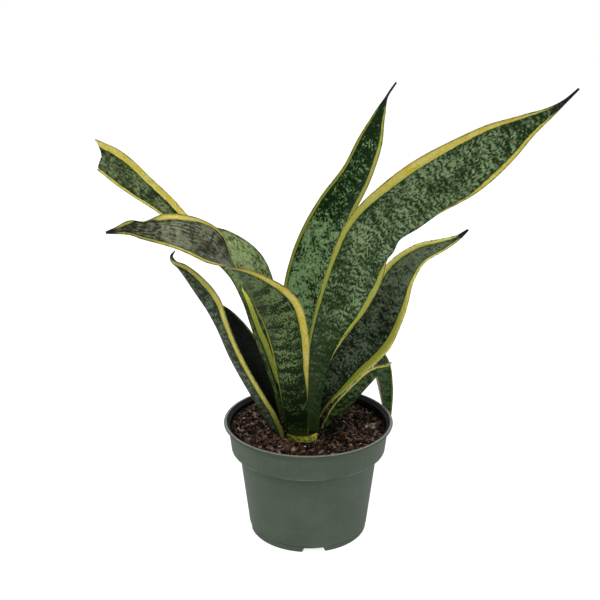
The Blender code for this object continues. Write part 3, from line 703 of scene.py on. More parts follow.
LEAF_STATIONS: dict[str, list[tuple]] = {
    "leaf_tall": [
        (-1, 4, 84, 7, 7, (0, -1, 0), 55, 55),
        (-2, 4.5, 98, 8, 8, (0, -1, 0), 55, 55),
        (-6, 12.5, 161.5, 15.1, 15.1, (0, -1, 0.1), 45, 45),
        (-2, 22.5, 217, 21.2, 21.2, (0, -1, 0.1), 35, 35),
        (7, 30, 252, 20.8, 20.8, (0, -1, 0.1), 32, 32),
        (22.5, 38.5, 287.5, 17.4, 17.4, (0, -1, 0.1), 30, 30),
        (42.5, 46.5, 319.5, 13.4, 13.4, (0, -1, 0.1), 30, 30),
        (55, 53.5, 347.5, 10.9, 9.8, (0, -1, 0.1), 30, 30),
        (62.5, 58, 368.5, 5.4, 4.2, (0, -1, 0.1), 35, 35),
        (69, 62, 385, 1.4, 1.4, (0, -1, 0.1), 30, 30),
        (76.5, 64, 396, 0.4, 0.4, (0, -1, 0.1), 20, 20),
    ],
    "leaf_wide": [
        (3, -6, 84, 7, 6, (0, -1, 0), 55, 55),
        (3, -6.5, 98, 8, 6.5, (0, -1, 0), 55, 55),
        (6, -7, 135.5, 10, 6.5, (0, -1, 0), 50, 50),
        (12, -6.5, 177, 14, 11.5, (0, -1, 0), 45, 45),
        (27, -5, 219.5, 19.5, 24, (0, -1, 0.1), 35, 35),
        (41.5, -1.5, 252, 23.5, 23.6, (0, -1, 0.1), 28, 30),
        (49.5, -0.5, 267.5, 25.5, 20.4, (0, -1, 0.1), 26, 30),
        (61, 0.5, 282.5, 26.8, 18.8, (0, -1, 0.1), 26, 28),
        (77, 0.5, 299, 25.8, 23, (0, -1, 0.1), 24, 25),
        (93.5, 0, 313.5, 24.7, 24.4, (0, -1, 0.1), 22, 22),
        (128.5, -1, 333.5, 24.8, 23.4, (0, -1, 0.1), 20, 20),
        (159, -2, 354.5, 18.4, 16.8, (0, -1, 0.1), 22, 22),
        (179, -3, 368.5, 9.7, 9.2, (0, -1, 0.1), 25, 25),
        (196.5, -4, 379.5, 3.6, 3.6, (0, -1, 0.1), 25, 25),
        (207, -4, 387.5, 1.2, 1.2, (0, -1, 0.1), 20, 20),
        (217.5, -5, 398, 0.4, 0.4, (0, -1, 0.1), 20, 20),
    ],
    "leaf_right": [
        (4.5, 9, 84, 5.5, 5, (-0.8, -0.6, 0.1), 50, 50),
        (6, 8.6, 98, 7, 5.5, (-0.8, -0.6, 0.1), 50, 50),
        (21, 7, 125.5, 15, 11, (-0.7, -0.7, 0.3), 50, 50),
        (40, 10, 152, 22, 16, (-0.6, -0.8, 0.3), 45, 45),
        (61.5, 13.5, 179.5, 24, 21, (-0.6, -0.8, 0.3), 40, 40),
        (74.5, 16, 209, 21.5, 19.1, (-0.6, -0.8, 0.3), 40, 40),
        (83, 17, 233.5, 18, 15.1, (-0.5, -0.8, 0.4), 45, 45),
        (97, 15.5, 252.5, 11, 10.1, (-0.4, -0.8, 0.5), 50, 50),
        (116.5, 13.5, 263, 5.4, 6.1, (-0.4, -0.8, 0.5), 50, 50),
        (129, 12.5, 270, 2, 2, (-0.4, -0.8, 0.5), 30, 30),
        (137, 12, 277, 0.4, 0.4, (-0.5, -0.8, 0.4), 20, 20),
    ],
    "leaf_front": [
        (-8, -19, 84, 9, 9, (0, 1, 0), 60, 60),
        (-9, -20, 98, 9.5, 9.5, (0, 1, 0), 60, 60),
        (-12, -24.5, 130, 12, 12, (0, 1, 0), 50, 50),
        (-14, -29.5, 159.5, 14.5, 14.5, (0, 1, 0), 40, 40),
        (-18, -34.5, 194, 17.9, 17.9, (0.15, 1, 0.1), 35, 35),
        (-27, -39, 221.5, 20.4, 20.4, (0.3, 0.92, 0.2), 28, 28),
        (-42, -40, 239.5, 20.9, 20.9, (0.55, 0.7, 0.45), 20, 20),
        (-61.5, -38, 256.5, 20.3, 21.5, (0.63, 0.25, 0.74), 18, 18),
        (-81.5, -40, 275, 18.8, 20, (0.4, -0.52, 0.73), 24, 24),
        (-101, -43.5, 285, 15, 17.8, (0.28, -0.7, 0.63), 30, 30),
        (-123, -48, 290, 10, 12.9, (0.15, -0.8, 0.55), 36, 36),
        (-131.5, -49.5, 292, 8.9, 7.9, (0.12, -0.82, 0.52), 38, 38),
        (-143.5, -51, 293, 4.9, 6.4, (0.1, -0.85, 0.5), 40, 40),
        (-153.5, -53, 292, 2, 2.5, (0, -0.9, 0.5), 30, 30),
        (-161.5, -54, 291, 0.4, 0.4, (0, -0.9, 0.5), 20, 20),
    ],
    "leaf_torn": [
        (-15, -1, 84, 7, 7, (0.7, -0.7, 0), 50, 50),
        (-16, -1, 98, 8, 6.5, (0.7, -0.7, 0), 50, 50),
        (-19.5, -3, 114, 9, 7.5, (0.7, -0.7, 0), 70, 50),
        (-31.7, -9, 157.2, 12.5, 12, (0.7, -0.7, 0.1), 90, 45),
        (-43.7, -8, 193.2, 14, 19, (0.7, -0.7, 0.2), 90, 40),
        (-52, 2, 222.1, 14.5, 24, (0.5, -0.8, 0.3), 70, 35),
        (-60.8, 12, 242, 12.6, 23, (0.3, -0.9, 0.3), 40, 30),
        (-77.5, 20.5, 258.5, 12.8, 17, (0.25, -0.9, 0.4), 30, 30),
        (-101, 26, 274, 10, 6.5, (0.2, -0.9, 0.4), 25, 25),
        (-127, 32.5, 295, 8.8, 9, (0.15, -0.95, 0.3), 25, 25),
        (-145, 37, 308, 10.6, 11.4, (0.1, -1, 0.2), 25, 25),
        (-169.5, 43, 326, 12, 14, (0.1, -1, 0.2), 25, 25),
        (-186, 47, 336, 10.5, 10.9, (0.1, -1, 0.2), 25, 25),
    ],
    "leaf_left": [
        (-26, -7.5, 84, 10.5, 5, (0.9, -0.3, 0.1), 80, 30, 15),
        (-29.5, -7.5, 96, 12.5, 7, (0.85, -0.37, 0.4), 70, 30, 30),
        (-37, -6.5, 110, 15, 12.5, (0.81, -0.37, 0.46), 50, 30, 42),
        (-50, -6, 132.5, 17, 21, (0.81, -0.37, 0.46), 36, 30, 47),
        (-67, -7.5, 167, 17.9, 26.5, (0.82, -0.33, 0.47), 30, 30, 45),
        (-80, -10, 200.5, 17.4, 17.5, (0.87, -0.1, 0.5), 30, 30, 36),
        (-89, -11, 217, 16.4, 9, (0.82, 0.25, 0.5), 30, 30, 38),
        (-97.5, -12.5, 232.5, 12.6, 5.5, (0.75, 0.45, 0.45), 30, 30, 38),
        (-107.5, -13.5, 249.5, 6.2, 2.8, (0.75, 0.45, 0.45), 30, 30, 30),
        (-114.8, -14.5, 260.5, 2.2, 1.8, (0.9, 0, 0.3), 30, 30),
        (-112, -15, 265, 0.5, 0.5, (0.5, 0, -0.8), 20, 20),
    ],
    "leaf_short": [
        (14, 6.5, 84, 5, 6, (-0.95, 0, 0.1), 40, 40, 8),
        (16.2, 5.5, 97, 6, 6, (-0.9, 0.15, 0.4), 40, 40, 15),
        (26.5, 2.5, 107, 11, 12, (-0.72, 0.26, 0.64), 30, 30, 30),
        (41, 0, 124, 12, 15, (-0.72, 0.26, 0.64), 30, 30, 32),
        (54, 0, 140, 10, 12, (-0.72, 0.26, 0.64), 30, 30, 32),
        (65, 0, 153, 5, 5.5, (-0.72, 0.26, 0.64), 30, 30, 30),
        (73, -1, 160, 0.5, 0.5, (-0.6, 0.3, 0.7), 20, 20),
    ],
    "leaf_hanging": [
        (-9, 14.5, 84, 6.5, 6.5, (-0.3, -1, 0), 50, 50),
        (-8, 15, 98, 7.5, 7.5, (-0.3, -1, 0), 50, 50),
        (-3, 23, 131, 11, 11, (-0.6, -0.6, 0.3), 45, 45),
        (17, 38, 155, 14, 14, (-0.4, -0.3, 0.9), 35, 35),
        (43, 52, 161, 15, 15, (0.2, 0.1, 1), 25, 25),
        (64, 59, 145, 15.5, 13, (0.8, 0.6, 0.6), 20, 20),
        (73, 66, 113, 14, 11, (0.8, 0.6, 0.1), 20, 20),
        (77, 71, 85, 8, 6.5, (0.8, 0.6, 0), 20, 20),
        (79, 75, 66, 2, 2, (0.8, 0.6, 0), 20, 20),
        (79, 76, 60, 0.5, 0.5, (0.8, 0.6, 0), 20, 20),
    ],
}


def slope(knots: list[float], values: list, index: int) -> object:
    """Find the tangent of a smooth curve at one knot.

    Args:
        knots: Places along the curve.
        values: Numbers or vectors at the knots.
        index: Which knot.

    Returns:
        The tangent, of the values' own kind.
    """
    if index == 0:
        return (values[1] - values[0]) / (knots[1] - knots[0])
    if index == len(knots) - 1:
        return (values[-1] - values[-2]) / (knots[-1] - knots[-2])
    span_before = knots[index] - knots[index - 1]
    span_after = knots[index + 1] - knots[index]
    before = (values[index] - values[index - 1]) / span_before
    after = (values[index + 1] - values[index]) / span_after
    return (before * span_after + after * span_before) / (span_before + span_after)


def between(knots: list[float], values: list, along: float) -> object:
    """Read a smooth curve through the values.

    Args:
        knots: Places along the curve.
        values: Numbers or vectors at the knots.
        along: Where to read it.

    Returns:
        The value there.
    """
    index = 0
    while index < len(knots) - 2 and knots[index + 1] < along:
        index += 1
    span = knots[index + 1] - knots[index]
    t = (along - knots[index]) / span
    out = slope(knots, values, index) * span
    into = slope(knots, values, index + 1) * span
    return (values[index] * (2 * t ** 3 - 3 * t ** 2 + 1) + out * (t ** 3 - 2 * t ** 2 + t)
            + values[index + 1] * (3 * t ** 2 - 2 * t ** 3) + into * (t ** 3 - t ** 2))


def course(knots: list[float], points: list[Vector], along: float, reach: float) -> Vector:
    """Find which way a smooth curve runs.

    Args:
        knots: Places along the curve.
        points: The points that it passes through there.
        along: Where to look.
        reach: How far to look to either side.

    Returns:
        The direction, with a length of 1.
    """
    ahead = between(knots, points, min(along + reach, knots[-1]))
    behind = between(knots, points, max(along - reach, 0.0))
    return (ahead - behind).normalized()


def read_track(track: Track, along: float) -> Pair:
    """Read a table of (along, left, right) rows at a place.

    Args:
        track: The rows, in order.
        along: The place, from 0 at the base to 1 at the tip.

    Returns:
        The left and right values there.
    """
    for (start, *low), (end, *high) in zip(track, track[1:]):
        if along <= end:
            t = max(0.0, (along - start) / (end - start))
            return low[0] + (high[0] - low[0]) * t, low[1] + (high[1] - low[1]) * t
    return track[-1][1], track[-1][2]


def ring_faces(rings: int, size: int, start: int = 0) -> list[tuple[int, ...]]:
    """Join a row of closed rings of vertices with four-sided faces.

    Args:
        rings: How many rings.
        size: How many vertices each has.
        start: The first ring's first vertex.

    Returns:
        The faces.
    """
    faces = []
    for low in range(start, start + (rings - 1) * size, size):
        for k in range(size):
            after = (k + 1) % size
            faces.append((low + k, low + after, low + size + after, low + size + k))
    return faces


def finished(name: str, vertices: list[Vector], faces: list[tuple[int, ...]],
             marks: dict[str, list[float]]) -> bpy.types.Object:
    """Make a mesh and its object, smooth, marked and with its faces outwards.

    Args:
        name: The object's name.
        vertices: The mesh's vertices, in metres.
        faces: Its faces.
        marks: Values for each vertex, by attribute.

    Returns:
        The object.
    """
    mesh = bpy.data.meshes.new(name)
    mesh.from_pydata(vertices, [], faces)
    form = bmesh.new()
    form.from_mesh(mesh)
    bmesh.ops.recalc_face_normals(form, faces=form.faces)
    form.to_mesh(mesh)
    form.free()
    mesh.shade_smooth()
    for label, values in marks.items():
        layer = mesh.attributes.new(label, "FLOAT", "POINT")
        layer.data.foreach_set("value", values)
    piece = bpy.data.objects.new(name, mesh)
    bpy.context.scene.collection.objects.link(piece)
    return piece


def dress_piece(piece: bpy.types.Object, material: bpy.types.Material, slot: str,
                *nodes: str) -> bpy.types.Object:
    """Give a piece its material and body.

    Args:
        piece: The piece.
        material: Its material.
        slot: The record's material slot; not used.
        *nodes: CAD nodes that it stands for.

    Returns:
        The piece.
    """
    piece.data.materials.append(material)
    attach(piece, BODY)
    if nodes:
        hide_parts(*nodes)
    log.info("%s: %d faces", piece.name, len(piece.data.polygons))
    return piece


@dataclass(frozen=True)
class Frame:
    """One computed section of a leaf: its place, its directions and its bend."""

    spot: Vector
    tangent: Vector
    facing: Vector
    widths: Vector
    curls: Vector
    along: float
    run: float


@dataclass(frozen=True)
class Nip:
    """A short narrowing of one side of a leaf, or a widening where its depth is negative."""

    along: float
    side: Side
    depth: float
    reach: float


@dataclass(frozen=True)
class Dress:
    """What a leaf wears: where its margins, tip and pale parts lie.

    gold holds the width of the golden margin on each side and green how green it is.
    lift says how pale the inner and outer faces are, depth is painted light and shade
    that makes them brighter or darker, and foot how much of the foot's plain green they
    take on. stripe is a band of the same gold on the inner face, from one distance right
    of the midrib to another. The first number of each row is the place along the leaf.
    Widths and tip are in millimetres.
    """

    gold: Track
    green: Track = ((0.0, 0.6, 0.6), (0.3, 0.1, 0.1), (1.0, 0.0, 0.0))
    lift: Track = ((0.0, 0.0, 0.0), (1.0, 0.0, 0.0))
    # depth: painted light and shade, multiplying the colour of the inner and outer faces
    depth: Track = ((0.0, 1.0, 1.0), (1.0, 1.0, 1.0))
    foot: Track = ((0.0, 0.0, 0.0), (1.0, 0.0, 0.0))
    stripe: Track = ((0.0, 9.0, -9.0), (1.0, 9.0, -9.0))
    tip: float = 6.0
    nips: tuple[Nip, ...] = ()


@dataclass
class Leaf:
    """One leaf blade, drawn finely through its stations, with sizes in millimetres.

    torn_end is how far a torn end reaches at the left, in the middle and at the right,
    and face_gap keeps the patterns of the two faces apart. dried is how strong the tip's
    dark is at its end, and how much of it goes over the tip's length.
    """

    name: str
    dress: Dress
    finish: LeafFinish
    seed: float = 0.0
    steps: int = 150
    columns: int = 24
    edge_points: int = 3
    edge_thickness: float = 1.0
    blade_thickness: float = 2.6
    base_thickness: float = 3.6
    thick_base_share: float = 0.25
    tip_width: float = 0.3
    tip_taper: float = 0.35
    tip_thickness: float = 0.5
    least_curl: float = 2.0
    ripple: float = 0.35
    ripple_length: float = 17.0
    ripple_width: float = 8.0
    tangent_reach: float = 0.5
    dried: Pair = (1.6, 1.2)
    least_gold: float = 0.25
    face_gap: float = 40.0
    torn_end: Triple = (-9.0, -5.5, 7.0)
    torn_from: float = 0.88
    torn_hollow: float = 1.5
    torn_rough: float = 0.9
    torn_rate: float = 9.0

    def frames(self) -> list[Frame]:
        """Compute evenly spaced sections along the leaf.

        Returns:
            The sections, from the base to the tip.
        """
        stations = [Station(*row) for row in LEAF_STATIONS[self.name]]
        points = [Vector((s.x, s.y, s.z)) for s in stations]
        knots = [0.0]
        for here, after in zip(points, points[1:]):
            knots.append(knots[-1] + (after - here).length)
        facings = [Vector(s.facing).normalized() for s in stations]
        widths = [Vector((s.left, s.right)) for s in stations]
        curls = [Vector((s.curl_left, s.curl_right, s.fold)) for s in stations]
        frames = []
        for step in range(self.steps):
            along = knots[-1] * step / (self.steps - 1)
            tangent = course(knots, points, along, self.tangent_reach)
            facing = between(knots, facings, along)
            facing = (facing - tangent * facing.dot(tangent)).normalized()
            frames.append(Frame(between(knots, points, along), tangent, facing,
                                between(knots, widths, along), between(knots, curls, along),
                                along / knots[-1], along))
        return frames

    def torn_reach(self, s: float, along: float) -> float:
        """Find how far a point is drawn along the leaf near a torn end.

        Args:
            s: The point's place across the leaf, from 1 at its left to -1.
            along: Its place along the leaf.

        Returns:
            The distance in millimetres.
        """
        left, middle, right = self.torn_end
        side = left if s > 0 else right
        fade = max(0.0, (along - self.torn_from) / (1 - self.torn_from))
        ragged = noise.noise(Vector((s * self.torn_rate, self.seed, 3.0))) * self.torn_rough
        return (middle + ragged + (side - middle) * abs(s) ** self.torn_hollow) * fade

    def width(self, frame: Frame, side: Side) -> float:
        """Find the width of one side of the leaf.

        Args:
            frame: The section.
            side: Which side.

        Returns:
            The width in millimetres.
        """
        width = frame.widths[0] if side is Side.LEFT else frame.widths[1]
        for nip in self.dress.nips:
            if nip.side is side:
                width -= nip.depth * math.exp(-((frame.along - nip.along) / nip.reach) ** 2)
        return max(width, self.tip_width)

    def section(self, frame: Frame) -> list[tuple[Vector, float, Side, Face]]:
        """Draw one section: inner face, right edge, outer face, left edge.

        Args:
            frame: The section's frame.

        Returns:
            For each point its place, its distance from the midrib along the
            blade, its side and its face.
        """
        across = frame.facing.cross(frame.tangent)
        at_base = max(0.0, 1 - frame.along / self.thick_base_share)
        middle = self.blade_thickness + (self.base_thickness - self.blade_thickness) * at_base
        narrowest = self.tip_taper * (frame.widths[0] + frame.widths[1]) + self.tip_thickness
        crease = math.radians(frame.curls[2])
        inner, outer, rims = [], [], {}
        for column in range(self.columns):
            s = math.sin(math.pi / 2 * (1 - 2 * column / (self.columns - 1)))
            side = Side.LEFT if s > 0 else Side.RIGHT
            width = self.width(frame, side)
            curl = math.radians(max(frame.curls[0] if side is Side.LEFT else frame.curls[1], self.least_curl))
            turn = crease + curl * abs(s)
            radius = width / curl
            outward = side.value * radius * (math.sin(turn) - math.sin(crease))
            inward = radius * (math.cos(crease) - math.cos(turn))
            point = frame.spot + across * outward + frame.facing * inward
            if self.name == "leaf_torn":
                point += frame.tangent * self.torn_reach(s, frame.along)
            normal = frame.facing * math.cos(turn) - across * (side.value * math.sin(turn))
            thick = min(self.edge_thickness + (middle - self.edge_thickness) * (1 - s * s), narrowest)
            wave = noise.noise(Vector((frame.run / self.ripple_length, side.value * 5.0, self.seed)))
            point += normal * (self.ripple * wave * abs(s) ** 3 * min(1.0, width / self.ripple_width))
            inner.append((point, abs(s) * width, side, Face.INNER))
            outer.append((point - normal * thick, abs(s) * width, side, Face.OUTER))
            if column in (0, self.columns - 1):
                sideways = across * (side.value * math.cos(turn)) + frame.facing * math.sin(turn)
                rims[side] = (point - normal * thick / 2, normal * thick / 2, sideways * thick / 2, width)
        right = self.rim(rims[Side.RIGHT], Side.RIGHT, 1)
        return inner + right + outer[::-1] + self.rim(rims[Side.LEFT], Side.LEFT, -1)

    def rim(self, shape: tuple[Vector, Vector, Vector, float], side: Side, way: int) -> list:
        """Round one edge of a section.

        Args:
            shape: The edge's centre, half its thickness, its bulge and the width.
            side: Which edge.
            way: 1 from the inner face to the outer one, or -1 back.

        Returns:
            The points between the two faces.
        """
        centre, up, out, width = shape
        points = []
        for step in range(1, self.edge_points + 1):
            angle = math.pi * step / (self.edge_points + 1)
            point = centre + up * (math.cos(angle) * way) + out * math.sin(angle)
            face = Face.INNER if (angle < math.pi / 2) == (way == 1) else Face.OUTER
            points.append((point, width, side, face))
        return points

    def marks(self, frame: Frame, distance: float, side: Side, face: Face, last: float) -> dict[str, float]:
        """Work out what the material has to know about a point.

        Args:
            frame: The point's section.
            distance: Its distance from the midrib along the blade.
            side: Its side.
            face: Its face.
            last: The length of the leaf.

        Returns:
            The values of the attributes.
        """
        dress = self.dress
        by_side = 0 if side is Side.LEFT else 1
        by_face = 0 if face is Face.INNER else 1
        edge = self.width(frame, side) - distance
        gold = read_track(dress.gold, frame.along)[by_side]
        gold -= 1.0 if gold < self.least_gold else 0.0
        margin = max(-edge, edge - gold)
        if face is Face.INNER:
            start, end = read_track(dress.stripe, frame.along)
            margin = min(margin, max(start + side.value * distance, -side.value * distance - end))
        marks = {"margin": margin, "edge": edge, "green": read_track(dress.green, frame.along)[by_side]}
        for label, track in (("lift", dress.lift), ("depth", dress.depth), ("foot", dress.foot)):
            marks[label] = read_track(track, frame.along)[by_face]
        strong, loss = self.dried
        dried = strong - loss * (last - frame.run) / dress.tip if dress.tip else 0.0
        return marks | {"tip": min(1.0, max(0.0, dried)), "face": face.value}

    def build(self, groups: Groups) -> bpy.types.Object:
        """Make the leaf and put it in place of its CAD node.

        Args:
            groups: The shared node groups.

        Returns:
            The leaf.
        """
        frames = self.frames()
        vertices, places = [], []
        marks: dict[str, list[float]] = {}
        for frame in frames:
            for point, distance, side, face in self.section(frame):
                vertices.append(point * MM)
                places.extend((side.value * distance, frame.run, self.seed + self.face_gap * face.value))
                for name, value in self.marks(frame, distance, side, face, frames[-1].run).items():
                    marks.setdefault(name, []).append(value)
        size = len(vertices) // len(frames)
        faces = ring_faces(len(frames), size)
        for start in (0, (len(frames) - 1) * size):
            faces.extend(self.cap(start, size))
        blade = finished(f"{self.name}_blade", vertices, faces, marks)
        vector = blade.data.attributes.new("place", "FLOAT_VECTOR", "POINT")
        vector.data.foreach_set("vector", places)
        return dress_piece(blade, self.finish.build(f"{self.name} surface", groups), "leaf_green", self.name)

    def cap(self, start: int, size: int) -> list[tuple[int, ...]]:
        """Close one end of the blade between its two faces.

        Args:
            start: The ring's first vertex.
            size: How many vertices the ring has.

        Returns:
            The cap's faces.
        """
        count, extra = self.columns, self.edge_points
        end = start + size
        across = end - extra - 1
        faces = [(start + k, start + k + 1, across - k - 1, across - k) for k in range(count - 1)]
        faces.append(tuple(range(start + count - 1, start + count + extra + 1)))
        faces.append((*range(across, end), start))
        return faces


# The plant


@dataclass
class Plant:
    """The eight leaves and the old leaf base in front of them."""

    groups: Groups

    def tall(self) -> Leaf:
        """Describe the upright leaf at the back."""
        finish = LeafFinish(srgb(14, 52, 2), srgb(132, 163, 110), srgb(28, 56, 14), srgb(88, 114, 66),
                            gold=srgb(188, 186, 64), light=srgb(206, 203, 98), rim=srgb(128, 124, 50),
                            deep=srgb(14, 50, 4), band_width=8.0, band_length=7.0, streak_width=1.6,
                            streak_length=(2.8, 2.8), waves=0.05)
        dress = Dress(
            gold=((0.0, 1.0, 1.0), (0.3, 2.3, 2.0), (0.6, 2.5, 3.3), (0.8, 2.0, 3.0), (0.9, 1.0, 1.6),
                  (0.94, 0.0, 0.0)),
            green=((0.0, 0.8, 0.8), (0.5, 0.7, 0.6), (1.0, 0.6, 0.2)),
            lift=((0.0, -0.2, 0.0), (0.3, 0.05, 0.0), (0.42, 0.14, 0.0), (0.54, 0.08, 0.0),
                  (0.6, -0.1, 0.0), (0.72, -0.2, 0.0), (0.85, -0.24, 0.0), (0.92, -0.5, 0.0),
                  (1.0, -0.5, -0.2)),
            tip=18.0,
            nips=(Nip(0.955, Side.LEFT, 1.1, 0.03), Nip(0.955, Side.RIGHT, 1.1, 0.03)))
        return Leaf("leaf_tall", dress, finish, seed=11.0)

    def wide(self) -> Leaf:
        """Describe the broadest leaf, which curves over to the right."""
        finish = LeafFinish(srgb(26, 56, 8), srgb(118, 138, 98), srgb(30, 56, 16), srgb(90, 112, 66),
                            green=srgb(150, 167, 64), band_width=13.0, band_length=4.5, streak_width=1.5,
                            streak_length=(3.0, 3.0), waves=0.2, softness=0.36)
        dress = Dress(
            gold=((0.0, 0.8, 0.0), (0.1, 1.4, 0.0), (0.23, 2.4, 0.0), (0.26, 2.6, 0.8), (0.29, 2.8, 2.4),
                  (0.33, 3.1, 3.6), (0.38, 3.4, 4.8), (0.43, 4.2, 3.8), (0.46, 4.8, 0.3), (0.5, 5.6, 0.2),
                  (0.55, 7.0, 0.2), (0.61, 8.0, 0.2), (0.66, 7.6, 0.6), (0.71, 6.6, 1.2), (0.75, 5.6, 3.0),
                  (0.8, 4.8, 3.2), (0.87, 3.0, 2.6), (0.92, 1.2, 1.2), (0.95, 0.0, 0.0)),
            green=((0.0, 0.9, 1.0), (0.25, 1.0, 0.9), (0.36, 0.95, 0.85), (0.42, 0.8, 0.8),
                   (0.5, 0.6, 0.75), (0.55, 0.35, 0.7), (0.61, 0.12, 0.7), (0.66, 0.0, 0.7),
                   (0.75, 0.0, 0.25), (1.0, 0.1, 0.2)),
            lift=((0.0, -0.25, 0.0), (0.2, -0.2, 0.0), (0.35, -0.08, 0.0), (0.5, 0.0, 0.0),
                  (0.8, -0.03, 0.0), (0.9, -0.22, 0.0), (1.0, -0.3, -0.2)),
            foot=((0.0, 0.9, 0.0), (0.06, 0.8, 0.0), (0.15, 0.6, 0.0), (0.25, 0.3, 0.0), (0.34, 0.0, 0.0),
                  (1.0, 0.0, 0.0)),
            tip=25.0,
            nips=(Nip(0.495, Side.RIGHT, -2.6, 0.02), Nip(0.41, Side.RIGHT, -1.7, 0.05)))
        return Leaf("leaf_wide", dress, finish, seed=23.0, steps=190)

    def right(self) -> Leaf:
        """Describe the channelled dark leaf on the right."""
        finish = LeafFinish(srgb(20, 35, 16), srgb(98, 111, 87), srgb(40, 52, 28), srgb(96, 106, 74),
                            gold=srgb(212, 203, 74), light=srgb(230, 212, 108), green=srgb(136, 150, 52),
                            rim=srgb(236, 230, 146), rim_width=1.7, rim_share=0.85, band_width=10.0,
                            band_length=4.5, streak_length=(3.2, 3.2), waves=0.16, softness=0.32)
        dress = Dress(
            gold=((0.0, 0.6, 0.4), (0.1, 0.8, 0.6), (0.17, 1.0, 4.6), (0.25, 1.2, 8.0), (0.34, 1.3, 9.6),
                  (0.45, 1.5, 10.2), (0.55, 2.0, 9.0), (0.62, 2.8, 7.2), (0.7, 4.2, 4.8), (0.8, 4.0, 2.8),
                  (0.93, 1.8, 1.4), (0.97, 0.0, 0.0)),
            green=((0.0, 0.9, 0.9), (0.17, 0.7, 0.75), (0.4, 0.4, 0.6), (0.55, 0.2, 0.4), (0.66, 0.0, 0.1),
                   (1.0, 0.0, 0.0)),
            lift=((0.0, -0.1, 0.0), (0.3, -0.06, 0.0), (0.55, 0.0, 0.0), (0.68, 0.18, 0.0),
                  (0.88, 0.26, 0.0), (1.0, -0.1, 0.0)),
            # depth brightens the inner face, most between 0.68 and 0.88 of the length: painted light.
            depth=((0.0, 1.15, 1.0), (0.55, 1.05, 1.0), (0.68, 1.33, 1.0), (0.88, 1.38, 1.0),
                   (1.0, 1.0, 1.0)),
            tip=11.0,
            nips=(Nip(0.15, Side.RIGHT, 4.0, 0.06),))
        return Leaf("leaf_right", dress, finish, seed=37.0)

    def front(self) -> Leaf:
        """Describe the front leaf, which twists over to the left."""
        # The grey inner colours are a painted reflection of the white surroundings on the inner face.
        finish = LeafFinish(srgb(60, 64, 46), srgb(118, 122, 98), srgb(24, 45, 6), srgb(98, 118, 72),
                            foot=srgb(88, 108, 44), band_width=26.0, band_length=6.0,
                            streak_length=(9.0, 2.0), waves=0.14, period=8.0)
        dress = Dress(
            gold=((0.0, 1.6, 0.3), (0.05, 1.3, 0.3), (0.08, 0.6, 0.3), (0.1, 0.0, 0.4), (0.15, 0.2, 0.8),
                  (0.2, 2.4, 1.4), (0.27, 5.6, 1.7), (0.34, 6.6, 1.9), (0.42, 6.2, 1.9), (0.5, 5.0, 1.8),
                  (0.56, 4.4, 1.6), (0.62, 3.6, 1.8), (0.73, 3.0, 1.8), (0.77, 2.8, 2.6), (0.8, 2.4, 4.2),
                  (0.865, 2.2, 4.2), (0.885, 2.0, 0.3), (0.925, 1.8, 0.2), (0.94, 1.6, 2.4),
                  (0.97, 0.8, 1.4), (0.985, 0.0, 0.0)),
            green=((0.0, 0.4, 0.9), (0.2, 0.2, 0.95), (0.35, 0.0, 0.95), (0.6, 0.0, 0.7), (0.77, 0.0, 0.1),
                   (1.0, 0.0, 0.1)),
            lift=((0.0, 0.0, -0.35), (0.12, 0.0, -0.3), (0.2, 0.0, -0.2), (0.3, 0.0, -0.07),
                  (0.5, 0.0, 0.09), (0.7, 0.0, 0.0), (0.78, 0.02, 0.0), (0.82, 0.2, 0.0), (0.85, 0.1, 0.0),
                  (0.88, -0.1, 0.0), (1.0, -0.2, 0.0)),
            foot=((0.0, 0.0, 0.9), (0.04, 0.0, 0.7), (0.055, 0.0, 0.35), (0.075, 0.0, 0.1),
                  (0.1, 0.0, 0.0), (1.0, 0.0, 0.0)),
            # depth: painted shade on the outer face near the foot and near the tip of the inner face, painted
            # light on the inner face at the twist.
            depth=((0.0, 1.0, 0.6), (0.12, 1.0, 0.6), (0.2, 1.0, 0.8), (0.28, 1.0, 1.0), (0.74, 1.0, 1.0),
                   (0.79, 1.1, 1.0), (0.82, 1.32, 1.0), (0.85, 1.15, 1.0), (0.88, 0.85, 1.0),
                   (1.0, 0.75, 1.0)),
            tip=9.0,
            nips=(Nip(0.905, Side.RIGHT, 1.3, 0.02),))
        return Leaf("leaf_front", dress, finish, seed=53.0, steps=190)

    def torn(self) -> Leaf:
        """Describe the leaf that ends torn at the upper left."""
